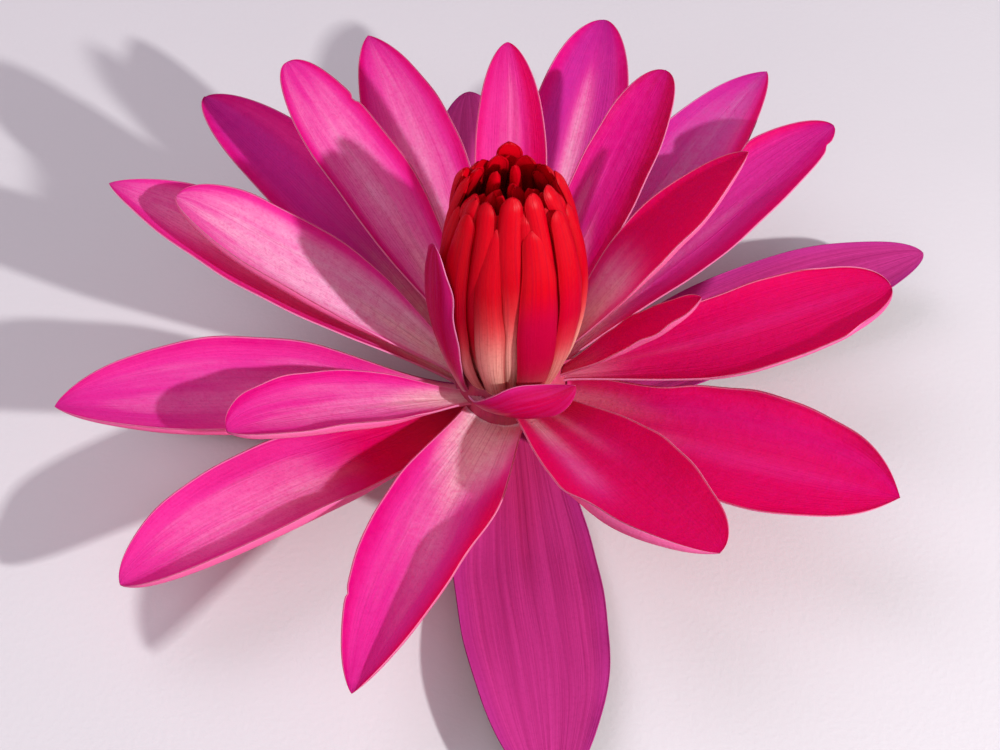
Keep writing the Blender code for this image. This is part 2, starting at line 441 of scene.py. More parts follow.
class Zones(Effect):
    """The parts of a blade that colour differently: margins, tip, foot, the pale flame up its middle, and a
    painted highlight at the edge.
    """

    name = "blade_zones"
    inputs = {"Side": 0.0, "Along": 0.0, "Seed": 0.0}
    outputs = ("Margin", "Tip", "Foot", "Flame", "Cloud", "Rim Highlight")

    def wire(self, graph: Graph, given: Outputs) -> dict[str, Value]:
        """Soft-edged masks, each with an irregular border."""
        side, along = given["Side"], given["Along"]
        reach = graph.maths("ABSOLUTE", side)
        seed = graph.times(given["Seed"], 17.0)
        where = graph.vector(graph.times(side, 2.4), graph.times(along, 3.0), seed)
        cloud = graph.noise(where, 1.0, 3.0, 0.55)
        uneven = graph.less(cloud, 0.5)

        def zone(value: Value, unevenness: float, low: float, high: float) -> Socket:
            """A mask that rises with the value, its border moved by a share of the unevenness."""
            return graph.step(graph.maths("MULTIPLY_ADD", uneven, unevenness, value), low, high)

        foot_edge = graph.maths("MULTIPLY_ADD", reach, 0.3, along)
        flame_edge = graph.maths("MULTIPLY_ADD", reach, 0.75, along)
        return {
            "Margin": zone(reach, 0.25, 0.60, 1.02),
            "Tip": zone(along, 0.2, 0.78, 1.05),
            "Foot": graph.less(1.0, zone(foot_edge, 0.14, 0.08, 0.50)),
            "Flame": graph.less(1.0, zone(flame_edge, 0.35, 0.35, 1.30)),
            "Cloud": cloud,
            # a thin painted highlight along the very margin
            "Rim Highlight": graph.step(reach, 0.972, 0.995),
        }


class Speckle(Effect):
    """Small soft dots, as cells that hold more or less colour."""

    name = "speckle"
    inputs = {"Scale": 1500.0, "Low": 0.52, "High": 0.66}
    outputs = ("Mask", "Grain")

    def wire(self, graph: Graph, given: Outputs) -> dict[str, Value]:
        """Noise fixed to the piece."""
        grain = graph.noise(graph.place(), given["Scale"], 2.0, 0.6)
        return {"Mask": graph.step(grain, given["Low"], given["High"]), "Grain": grain}


# ---------------------------------------------------------------- finishes


class Surface(NamedTuple):
    """What a finish's nodes give its material."""

    colour: Value
    roughness: Value
    height: Value
    glow: Value  # the colour of the light that comes through the wall


@dataclass(frozen=True)
class Sheen:
    """How a finish shines: values that are the same all over a surface."""

    roughness: float
    specular: float
    through: float = 0.0  # share of the light that passes through the wall


@dataclass(frozen=True)
class Finish:
    """What every finish shares: a name, how it shines, and how deep its relief is."""

    name: str
    shine: Sheen
    relief: float

    def surface(self, graph: Graph) -> Surface:
        """Adds the nodes that colour the surface.

        Args:
            graph: the material's tree.

        Returns:
            The surface's colour, roughness, height and glow.
        """
        raise NotImplementedError

    def uneven(self, graph: Graph, mask: Value, spread: float, below: float) -> Socket:
        """A roughness that varies with a mask.

        Args:
            graph: the material's tree.
            mask: what it follows.
            spread: how far it varies.
            below: how far its least value lies below the finish's own.

        Returns:
            The roughness.
        """
        return graph.maths("MULTIPLY_ADD", mask, spread, self.shine.roughness - below)

    def material(self) -> bpy.types.Material:
        """The material, built the first time it is asked for."""
        found = bpy.data.materials.get(self.name)
        if found is not None:
            return found
        made = bpy.data.materials.new(self.name)
        made.use_nodes = True
        graph = Graph(made.node_tree)
        shader = made.node_tree.nodes["Principled BSDF"]
        colour, roughness, height, glow = self.surface(graph)
        bump = graph.plain("ShaderNodeBump", Strength=1.0, Distance=self.relief, Height=height)
        graph.fill(shader, Base_Color=colour, Roughness=roughness, Normal=bump)
        graph.fill(shader, Specular_IOR_Level=self.shine.specular)
        if self.shine.through:
            veil = graph.plain("ShaderNodeBsdfTranslucent", Color=glow, Normal=bump)
            both = graph.node("ShaderNodeMixShader")
            for socket, value in zip(both.inputs, (self.shine.through, shader.outputs[0], veil)):
                graph.feed(socket, value)
            graph.fill(made.node_tree.nodes["Material Output"], Surface=both.outputs[0])
        return made


class BladeLayers:
    """The shared effects as one blade's material uses them."""

    def __init__(self, graph: Graph) -> None:
        """Places the effects that every blade needs.

        Args:
            graph: the material's tree.
        """
        self.graph = graph
        self.marks = graph.effect(BladePlace())
        self.where = {name: self.marks[name] for name in ("Side", "Along", "Seed")}
        self.zones = graph.effect(Zones(), **self.where)

    def veins(self, count: float, stretch: float, low: float, high: float) -> Outputs:
        """Lines down the blade.

        Args:
            count: about how many lie on each side of the midrib.
            stretch: how often they break and start anew.
            low: the least noise that shows as a line.
            high: the noise at which a line is full.

        Returns:
            Their mask and their ridge.
        """
        return self.graph.effect(Veins(), **self.where, Count=count, Stretch=stretch, Low=low, High=high)

    def speckle(self, scale: float, low: float = 0.48, high: float = 0.68) -> Outputs:
        """Dots of one size: their mask and their grain."""
        return self.graph.effect(Speckle(), Scale=scale, Low=low, High=high)


@dataclass(frozen=True)
class PetalFinish(Finish):
    """Thin satin flesh: cream at the foot, pale up the middle, hot pink at the margins and tip."""

    cream: Colour = rgb("FFE0DC")
    white: Colour = rgb("F8C0E2")
    pale: Colour = rgb("F07CC2")
    rose: Colour = rgb("E436A4")
    hot: Colour = rgb("D20A88")
    # red-pink flesh, partly painted light: the glow of light through the shaded inner faces of the right-hand
    # petals
    crimson_and_backlight: Colour = rgb("DE0062")
    # the darkest red, partly painted shade: it darkens the shaded root of outer_petal_4
    deep: Colour = rgb("A60046")
    # lilac, partly the flesh's own hue and partly painted reflection of the sky on shaded faces
    purple_and_sky_reflection: Colour = rgb("A82C9C")
    vein: Colour = rgb("A0126C")
    back: Colour = rgb("B0186C")
    back_pale: Colour = rgb("D85AA0")
    back_edge: Colour = rgb("F080B8")
    # paler line along the very margin: a painted highlight
    rim: Colour = rgb("F8A8D2")
    foot_glow: Colour = rgb("FF8C88")
    glow: Colour = rgb("FF2C9C")
    warm_glow: Colour = rgb("FF065E")
    cool_glow: Colour = rgb("D440D0")

    def surface(self, graph: Graph) -> Surface:
        """Zones from foot to tip, veins in two sizes, speckle, and a duller back."""
        layers = BladeLayers(graph)
        marks, zones = layers.marks, layers.zones
        broad = layers.veins(count=5.0, stretch=1.1, low=0.38, high=0.68)
        fine = layers.veins(count=26.0, stretch=2.2, low=0.50, high=0.66)
        dots = layers.speckle(scale=1700.0)
        mottle = layers.speckle(scale=520.0, low=0.38, high=0.66)
        warmth = marks["Warmth"]
        foot = graph.times(zones["Foot"], graph.step(warmth, 0.75, 0.15))
        depth = graph.total(
            (marks["Flush"], 0.62), (zones["Margin"], 0.42), (zones["Tip"], 0.30), (zones["Cloud"], 0.40),
            (zones["Flame"], -0.36), (broad["Mask"], 0.16),
        )

        face = graph.ladder(
            depth, self.white, (-0.50, 0.05, self.pale), (-0.10, 0.45, self.rose), (0.35, 1.05, self.hot)
        )
        # warmth turns the face red-pink: partly the flesh's own colour, partly painted light through shaded
        # faces
        face = graph.ladder(warmth, face, (0.0, 1.0, self.crimson_and_backlight))
        # negative warmth tints the face lilac: partly the flesh's own hue, partly painted sky reflection on
        # shaded petals
        face = graph.washes(face, (graph.step(warmth, 0.0, -1.0), 0.85, self.purple_and_sky_reflection))
        # the deepest flush goes darker still: partly painted shade
        face = graph.ladder(depth, face, (1.15, 2.0, self.deep))
        face = graph.washes(
            face,
            (foot, 0.92, self.cream),
            (fine["Mask"], graph.maths("MULTIPLY_ADD", foot, 0.36, 0.11), self.vein),
            (mottle["Mask"], graph.times(graph.less(1.0, warmth), 0.20), self.rose),
            (dots["Mask"], 0.26, self.hot),
        )
        rear = graph.washes(
            graph.ladder(depth, self.back_pale, (-0.1, 0.9, self.back)),
            (zones["Foot"], 0.7, self.cream),
            (fine["Mask"], 0.35, self.vein),
            (graph.step(marks["Reach"], 0.55, 0.85), 0.8, self.back_edge),
            (broad["Mask"], 0.2, self.rose),
        )
        # the thin paler line at the margin is a painted highlight
        colour = graph.washes(graph.tint(marks["Upper"], rear, face), (zones["Rim Highlight"], 0.6, self.rim))

        rough = self.uneven(graph, zones["Cloud"], 0.16, 0.08)
        height = graph.total((fine["Ridge"], 0.55), (dots["Grain"], 0.22), (mottle["Grain"], 0.5))
        glow = graph.ladder(
            graph.mark("tone")[2], self.glow, (0.0, 1.0, self.warm_glow), (0.0, -1.0, self.cool_glow)
        )
        glow = graph.tint(graph.step(graph.mark("place")[1], 0.05, 0.40), self.foot_glow, glow)
        return Surface(colour, rough, height, glow)


@dataclass(frozen=True)
class SepalFinish(Finish):
    """Thicker flesh, striped along its inside, dull maroon with pale veins on its back."""

    light: Colour = rgb("CC3A8E")
    dark: Colour = rgb("9A1A62")
    edge: Colour = rgb("BA3090")
    foot: Colour = rgb("A81C4C")
    back: Colour = rgb("5A1F2C")
    back_green: Colour = rgb("6C5A2C")
    back_vein: Colour = rgb("9A6A50")
    glow: Colour = rgb("E02080")

    def surface(self, graph: Graph) -> Surface:
        """Stripes of two widths on the inside, and fine pale veins on the back."""
        layers = BladeLayers(graph)
        marks, zones = layers.marks, layers.zones
        broad = layers.veins(count=9.0, stretch=0.8, low=0.40, high=0.62)
        fine = layers.veins(count=34.0, stretch=1.4, low=0.44, high=0.62)
        dots = layers.speckle(scale=1300.0)
        face = graph.washes(
            self.light,
            (broad["Mask"], 0.34, self.dark),
            (fine["Mask"], 0.26, self.dark),
            (graph.step(marks["Reach"], 0.7, 1.0), 0.6, self.edge),
            (zones["Foot"], 0.7, self.foot),
            (dots["Mask"], 0.15, self.dark),
        )
        rear = graph.washes(
            graph.ladder(zones["Cloud"], self.back, (0.35, 0.7, self.back_green)),
            (fine["Mask"], 0.5, self.back_vein),
            (graph.step(marks["Reach"], 0.86, 0.98), 0.7, self.dark),
        )
        rough = self.uneven(graph, zones["Cloud"], 0.15, 0.07)
        height = graph.total((fine["Ridge"], 0.4), (broad["Ridge"], 0.7), (dots["Grain"], 0.12))
        return Surface(graph.tint(marks["Upper"], rear, face), rough, height, self.glow)


@dataclass(frozen=True)
class StamenFinish(Finish):
    """Glossy red flesh that fades to cream at the foot, dark maroon on the face towards the urn's inside."""

    cream: Colour = rgb("FFC2AC")
    salmon: Colour = rgb("F45C60")
    red: Colour = rgb("D00018")
    # dark red for the speckle, and painted shade at each stamen's margins
    deep: Colour = rgb("980008")
    streak: Colour = rgb("B00024")
    # partly the stamens' own pink, darkened as painted shadow over the lower half of the outermost stamens
    pink: Colour = rgb("B4043C")
    inside: Colour = rgb("840008")
    anther: Colour = rgb("A80C08")
    glow: Colour = rgb("F0060A")

    def surface(self, graph: Graph) -> Surface:
        """Cream foot with dark-red streaks, red above it, and two anther lines on the inner face."""
        layers = BladeLayers(graph)
        marks, zones = layers.marks, layers.zones
        along = marks["Along"]
        fine = layers.veins(count=13.0, stretch=1.1, low=0.46, high=0.66)
        dots = layers.speckle(scale=1500.0)
        pale = graph.maths("MULTIPLY_ADD", marks["Flush"], -0.42, 0.60)
        risen = graph.maths("MULTIPLY_ADD", fine["Ridge"], -0.16, graph.maths("ADD", along, 0.08))
        face = graph.ladder(
            risen, self.cream,
            (graph.times(pale, 0.35), pale, self.salmon),
            (graph.times(pale, 0.55), graph.maths("ADD", pale, 0.12), self.red),
        )
        face = graph.washes(
            face,
            (fine["Mask"], 0.5, self.streak),
            # warm stamens turn pink-red below the middle: partly their own colour, partly painted shadow
            (marks["Warmth"], graph.step(along, 0.74, 0.50), self.pink),
            # darker towards each stamen's margins: painted shade between the straps
            (graph.step(marks["Reach"], 0.55, 1.0), 0.45, self.deep),
            (dots["Mask"], 0.12, self.deep),
        )
        off_line = graph.maths("ABSOLUTE", graph.less(marks["Reach"], 0.42))
        anthers = graph.less(1.0, graph.step(off_line, 0.08, 0.24))
        inner = graph.washes(self.inside, (anthers, 0.8, self.anther))
        inner = graph.ladder(along, inner, (0.84, 0.97, self.red))
        rough = self.uneven(graph, zones["Cloud"], 0.14, 0.07)
        height = graph.total((fine["Ridge"], 0.5), (dots["Grain"], 0.12))
        return Surface(graph.tint(marks["Upper"], face, inner), rough, height, self.glow)


@dataclass(frozen=True)
class FleshFinish(Finish):
    """Plain plant flesh of two tones with fine ribs, for the ovary and the stalk."""

    first: Colour = rgb("7C8A3A")
    second: Colour = rgb("7A3038")
    mottle: float = 160.0  # patches in each metre
    cut: Colour = rgb("C9C08A")
    cut_height: float = -1.0  # below this height the surface is a fresh cut; negative for none
    crown: Colour = rgb("B8305E")
    crown_span: Span = (1.0, 2.0)  # heights between which the colour turns to the crown's

    def surface(self, graph: Graph) -> Surface:
        """Patches of two tones, a fine grain, and a pale cut face where there is one."""
        where = graph.place()
        patch = graph.noise(where, self.mottle, 4.0, 0.6)
        ribs = graph.noise(graph.plain("ShaderNodeMapping", Vector=where, Scale=(1.0, 1.0, 0.12)), 1400.0)
        dots = graph.effect(Speckle(), Scale=2200.0, Low=0.50, High=0.66)
        level = graph.parts(where)[2]
        colour = graph.washes(
            graph.ladder(patch, self.first, (0.38, 0.62, self.second)),
            (graph.step(ribs, 0.45, 0.65), 0.35, self.second),
            (dots["Mask"], 0.3, self.first),
            (graph.step(level, *self.crown_span), 0.85, self.crown),
        )
        if self.cut_height >= 0:
            sappy = graph.ladder(patch, self.cut, (0.4, 0.6, self.first))
            colour = graph.tint(graph.maths("LESS_THAN", level, self.cut_height), colour, sappy)
        height = graph.maths("MULTIPLY_ADD", dots["Grain"], 0.3, ribs)
        return Surface(colour, self.uneven(graph, patch, 0.2, 0.1), height, colour)


@dataclass(frozen=True)
class FloorFinish(Finish):
    """A matt pale table top with the faintest mottling."""

    light: Colour = (0.64, 0.635, 0.63, 1.0)
    shade: Colour = (0.58, 0.576, 0.572, 1.0)

    def surface(self, graph: Graph) -> Surface:
        """Two close greys in soft patches, and a fine grain."""
        where = graph.place()
        colour = graph.tint(graph.noise(where, 9.0, 3.0), self.light, self.shade)
        grain = graph.noise(where, 900.0)
        return Surface(colour, self.uneven(graph, grain, 0.1, 0.0), grain, colour)


PETAL = PetalFinish("petal_satin", Sheen(roughness=0.46, specular=0.08, through=0.43), relief=0.30 * MM)
DARK_PETAL = PetalFinish(
    "dark_petal_satin", Sheen(roughness=0.42, specular=0.07, through=0.22), relief=0.2 * MM,
    back=rgb("B00040"), back_pale=rgb("CC0854"), back_edge=rgb("C4146C"), foot_glow=rgb("D00040"),
    glow=rgb("E00048"),
)
SEPAL = SepalFinish("sepal_satin", Sheen(roughness=0.50, specular=0.10, through=0.20), relief=0.24 * MM)
STAMEN = StamenFinish("stamen_gloss", Sheen(roughness=0.34, specular=0.10, through=0.26), relief=0.16 * MM)
OVARY = FleshFinish(
    "ovary_flesh", Sheen(roughness=0.5, specular=0.3), relief=0.2 * MM, crown_span=(9.0 * MM, 12.0 * MM)
)
STALK = FleshFinish(
    "stalk_flesh", Sheen(roughness=0.5, specular=0.3), relief=0.2 * MM,
    first=rgb("6E5A30"), second=rgb("5E2A24"), mottle=220.0, cut_height=0.06 * MM,
)
FLOOR = FloorFinish("pale_table", Sheen(roughness=0.75, specular=0.2), relief=0.05 * MM)

# ---------------------------------------------------------------- blades


class Tip(Enum):
    """How a blade ends: how long it stays full, how sharply it narrows, and how far it forms a beak."""

    FINGER = (1.45, 0.80, 0.0)
    ROUND = (2.5, 0.50, 0.0)
    BLUNT = (2.2, 0.60, 0.0)
    ACUTE = (1.9, 0.74, 0.1)
    BEAKED = (2.1, 0.66, 0.5)


@dataclass(frozen=True)
class Tier:
    """Where one whorl leaves the ovary, and the shape that its blades share."""

    root_radius: float
    root_height: float
    thickness: float
    foot: float  # width at the root, as a share of the widest part
    widest: float  # where along its length a blade is widest
    cup: tuple[float, float, float]  # half the bend across the blade at root, middle and tip, degrees
    heel: float = 1.0  # share of the length over which the blade bends; straight beyond it
    finger: float = 0.0  # width of a blunt finger tip, as a share of the widest part; 0 is a point


@dataclass(frozen=True)
class Roll:
    """A margin that rolls over towards the inner face."""

    side: int  # -1 or 1
    start: float  # share of the half-width where it starts to turn
    span: Span  # from where to where along the blade
    angle: float  # degrees by which the very margin has turned
    spread: float = 0.0  # how much broader the blade is there, as a share of its half-width


@dataclass(frozen=True)
class Nick:
    """A small notch in a margin."""

    side: int  # -1 or 1
    along: float  # where along the blade
    depth: float  # share of the half-width
    breadth: float = 0.02  # share of the length


@dataclass(frozen=True)
class Crease:
    """A narrow furrow in the inner face that runs with the blade."""

    side: float  # where across the blade
    span: Span  # from where to where along the blade
    depth: float
    breadth: float = 0.045  # share of the half-width


@dataclass(frozen=True)
class Band:
    """A lengthwise band that is deeper or paler, warmer or cooler, than the rest of a blade."""

    side: float  # where its middle lies across the blade
    breadth: float  # share of the half-width
    flush: float = 0.0
    warmth: float = 0.0
    span: Span = (-0.3, 1.3)  # from where to where along the blade; all of it, unless given


@dataclass(frozen=True)
class Blade:
    """One sepal, petal or stamen: a curved strap with a cupped cross-section and a tapering wall."""

    name: str
    tier: Tier
    heading: float  # degrees from +X towards +Y, at the root
    length: float
    width: float
    rise: Span  # degrees above level, at the root and past the bend
    sweep: float = 0.0  # degrees by which the heading turns from root to tip
    roll: float = 0.0  # degrees by which the blade turns about its midrib, root to tip
    tip: Tip = Tip.BLUNT
    flush: float = 0.5  # 0 pale, 1 deep in colour, 2 darkest
    # on the petals, high warmth partly paints light through shaded flesh, and negative warmth partly paints
    # sky reflection on shaded faces
    warmth: float = 0.0  # -1 purple, 0 pink, 1 crimson
    keel: float = 0.0  # degrees by which each half turns up from a folded midrib
    gutter: float = 1.6  # above 1, the bend gathers towards the margins
    flare: float = 0.0  # how much broader it is at the very root, as a share of its widest
    hook: float = 0.0  # how far the tip leans towards side 1, as a share of the half-width
    wave: float = 0.25 * MM  # how far the margins wander up and down
    rolls: tuple[Roll, ...] = ()
    nicks: tuple[Nick, ...] = ()
    creases: tuple[Crease, ...] = ()
    bands: tuple[Band, ...] = ()

    @property
    def seed(self) -> int:
        """A number of the blade's own, for its irregularities."""
        return sum(ord(letter) * place for place, letter in enumerate(self.name, 7)) % BLADE_NUMBERS

    def midrib(self, along: np.ndarray) -> tuple[np.ndarray, np.ndarray, np.ndarray]:
        """The midrib: one arc up to the end of the heel, then a straight run.

        Args:
            along: shares of the length.

        Returns:
            Its points, how steeply it rises, and which way it heads, in radians.
        """
        tier = self.tier
        start, end = (math.radians(angle) for angle in self.rise)
        turn = (end - start) / tier.heel
        bent = np.minimum(along, tier.heel)
        rise = start + turn * bent
        reach = (np.sin(rise) - math.sin(start)) / turn + (along - bent) * np.cos(rise)
        climb = (math.cos(start) - np.cos(rise)) / turn + (along - bent) * np.sin(rise)
        heading = np.radians(self.heading + self.sweep * along)
        radius = tier.root_radius + self.length * reach
        height = tier.root_height + self.length * climb
        point = np.stack([radius * np.cos(heading), radius * np.sin(heading), height], axis=-1)
        return AXIS + point, rise, heading

    def frames(self, along: np.ndarray) -> tuple[np.ndarray, np.ndarray, np.ndarray]:
        """The midrib's points, and at each the directions across the blade and up from its inner face."""
        point, rise, heading = self.midrib(along)
        forward = self.midrib(along + STEP)[0] - self.midrib(along - STEP)[0]
        forward /= np.linalg.norm(forward, axis=-1, keepdims=True)
        level = np.zeros_like(rise)
        outward = np.stack([np.cos(heading), np.sin(heading), level], axis=-1)
        lean = np.stack([level, level, np.cos(rise)], axis=-1) - outward * np.sin(rise)[:, None]
        across = np.cross(lean, forward)
        across /= np.linalg.norm(across, axis=-1, keepdims=True)
        upward = np.cross(forward, across)
        roll = np.radians(self.roll * along)[:, None]
        turned = across * np.cos(roll) + upward * np.sin(roll)
        return point, turned, upward * np.cos(roll) - across * np.sin(roll)

    def outline(self, along: np.ndarray) -> np.ndarray:
        """Half-width at each share of the length, as a share of the widest."""
        tier = self.tier
        inside = np.clip(along, 0.0, 1.0)
        swelling = np.sin(np.minimum(inside / tier.widest, 1) * np.pi / 2) ** SWELL
        rising = tier.foot + (1 - tier.foot) * swelling + self.flare * (1 - smooth(inside, 0.0, FLARE_REACH))
        past = np.clip((inside - tier.widest) / (1 - tier.widest), 0.0, 1.0)
        fullness, sharpness, beak = self.tip.value
        point = (1 - past**fullness) ** sharpness * (1 - beak * np.exp((past - 1) / BEAK_REACH))
        end = np.clip((past - FINGER_END) / (1 - FINGER_END), 0.0, 1.0)
        rounding = np.sqrt(1 - end**2) if tier.finger > 0 else 1.0
        falling = (tier.finger + (1 - tier.finger) * point) * rounding
        return np.maximum(np.where(inside < tier.widest, rising, falling), LEAST_WIDTH)

    def half_widths(self, along: np.ndarray, side: np.ndarray) -> np.ndarray:
        """Half-width for each row and column, with nicks and the extra breadth of rolled margins."""
        half = np.repeat(self.outline(along)[:, None], len(side), axis=1)
        reach = np.abs(side)[None, :]
        for sign in (-1, 1):
            stray = UNEVEN_EDGE * ripple(self.seed + EDGE_DRAW * sign, along, EDGE_WAVES)
            uneven = 1 + stray * smooth(along, *EDGE_HOLD)
            half = np.where((np.sign(side) == sign)[None, :], half * uneven[:, None], half)
        for nick in self.nicks:
            bite = nick.depth * hump(along, nick.along, nick.breadth)
            on_side = (side * nick.side > 0)[None, :] * reach**NEAR_MARGIN
            half = half * (1 - bite[:, None] * on_side)
        for roll in self.rolls:
            more = roll.spread * smooth(along, roll.span[0] - ROLL_LEAD, sum(roll.span) / 2)
            half = half * (1 + more[:, None] * (side * roll.side > 0)[None, :])
        return half * self.width / 2

    def bends(self, along: np.ndarray, side: np.ndarray) -> np.ndarray:
        """How far the surface has turned up from level across the blade, in radians."""
        keel = math.radians(self.keel) * smooth(along, *KEEL_ONSET)
        cup = np.radians(np.interp(along, [0.0, CUP_MIDDLE, 1.0], self.tier.cup)) - keel
        gathered = np.sign(side) * np.abs(side) ** self.gutter * (self.gutter + 1) / 2
        bend = cup[:, None] * gathered[None, :] + keel[:, None] * np.tanh(side / KEEL_BREADTH)[None, :]
        for roll in self.rolls:
            low, high = roll.span
            window = smooth(along, low, low + 0.5 * (high - low))
            turned = np.clip((side * roll.side - roll.start) / (1 - roll.start), 0.0, 1.0) ** ROLL_EASE
            bend = bend + roll.side * math.radians(roll.angle) * window[:, None] * turned[None, :]
        return bend

    def surface(self, along: np.ndarray, side: np.ndarray) -> np.ndarray:
        """The middle surface, as rows of points from root to tip."""
        point, across, upward = self.frames(along)
        half, bend = self.half_widths(along, side), self.bends(along, side)
        angle = (bend[:, 1:] + bend[:, :-1]) / 2
        width = (half[:, 1:] + half[:, :-1]) / 2
        gaps = np.diff(side)[None, :]
        middle = len(side) // 2

        def from_midrib(way: Callable[[np.ndarray], np.ndarray]) -> np.ndarray:
            """How far each column lies from the midrib, sideways or upwards."""
            steps = np.cumsum(way(angle) * gaps * width, axis=1)
            far = np.concatenate([np.zeros((len(along), 1)), steps], axis=1)
            return far - far[:, middle : middle + 1]

        out, lift = from_midrib(np.cos), from_midrib(np.sin)
        free = smooth(along, *WAVE_HOLD)
        for sign in (-1, 1):
            swing = self.wave * free * ripple(self.seed + WAVE_DRAW * sign, along, WAVE_WAVES)
            on_side = np.where(side * sign > 0, np.abs(side) ** NEAR_MARGIN, 0.0)
            lift = lift + swing[:, None] * on_side[None, :]
        sway = SWAY * free * ripple(self.seed + SWAY_DRAW, along, SWAY_WAVES)
        sway = sway + self.hook * self.width / 2 * smooth(along, *HOOK_SPAN) ** HOOK_EASE
        out = out + sway[:, None]
        return point[:, None, :] + across[:, None, :] * out[..., None] + upward[:, None, :] * lift[..., None]

    def relief(self, along: np.ndarray, side: np.ndarray) -> np.ndarray:
        """Height of the inner face's own ribs and furrows above its smooth form."""
        draw = np.random.default_rng(self.seed + RIB_DRAW)
        height = np.zeros((len(along), len(side)))
        fade = (1 - smooth(along, *RIB_FADE)) * self.tier.thickness * RIB_DEPTH
        for _ in range(RIBS):
            where, breadth = draw.uniform(-RIB_REACH, RIB_REACH), draw.uniform(*RIB_BREADTHS)
            height -= fade[:, None] * hump(side, where, breadth)[None, :] * draw.uniform(*RIB_STRENGTHS)
        for index, crease in enumerate(self.creases):
            low, high = crease.span
            shown = smooth(along, low, low + CREASE_START) * (1 - smooth(along, high - CREASE_END, high))
            wander = ripple(self.seed + CREASE_DRAW + index, along, CREASE_WAVES)
            centre = crease.side + CREASE_WANDER * wander
            dip = hump(side[None, :], centre[:, None], crease.breadth)
            height -= crease.depth * shown[:, None] * dip
        return height

    def tone(self, along: np.ndarray, side: np.ndarray) -> np.ndarray:
        """Depth of colour, the blade's own number and warmth of colour at each point."""
        flush = np.full((len(along), len(side)), float(self.flush))
        warmth = np.full_like(flush, self.warmth)
        for band in self.bands:
            low, high = band.span
            shown = smooth(along, low, low + BAND_FADE) * (1 - smooth(along, high - BAND_FADE, high))
            share = shown[:, None] * hump(side, band.side, band.breadth)[None, :]
            flush += band.flush * share
            warmth += band.warmth * share
        own = np.full_like(flush, self.seed % PATTERNS / PATTERNS)
        return np.stack([flush, own, np.clip(warmth, -1, 1)], axis=-1)


def columns(count: int) -> np.ndarray:
    """Positions across a blade from -1 to 1, denser towards the margins. The count of cells is even."""
    even = np.linspace(-1.0, 1.0, count + 1)
    reach = math.pi / 2 * EDGE_CROWDING
    return np.sin(even * reach) / math.sin(reach)


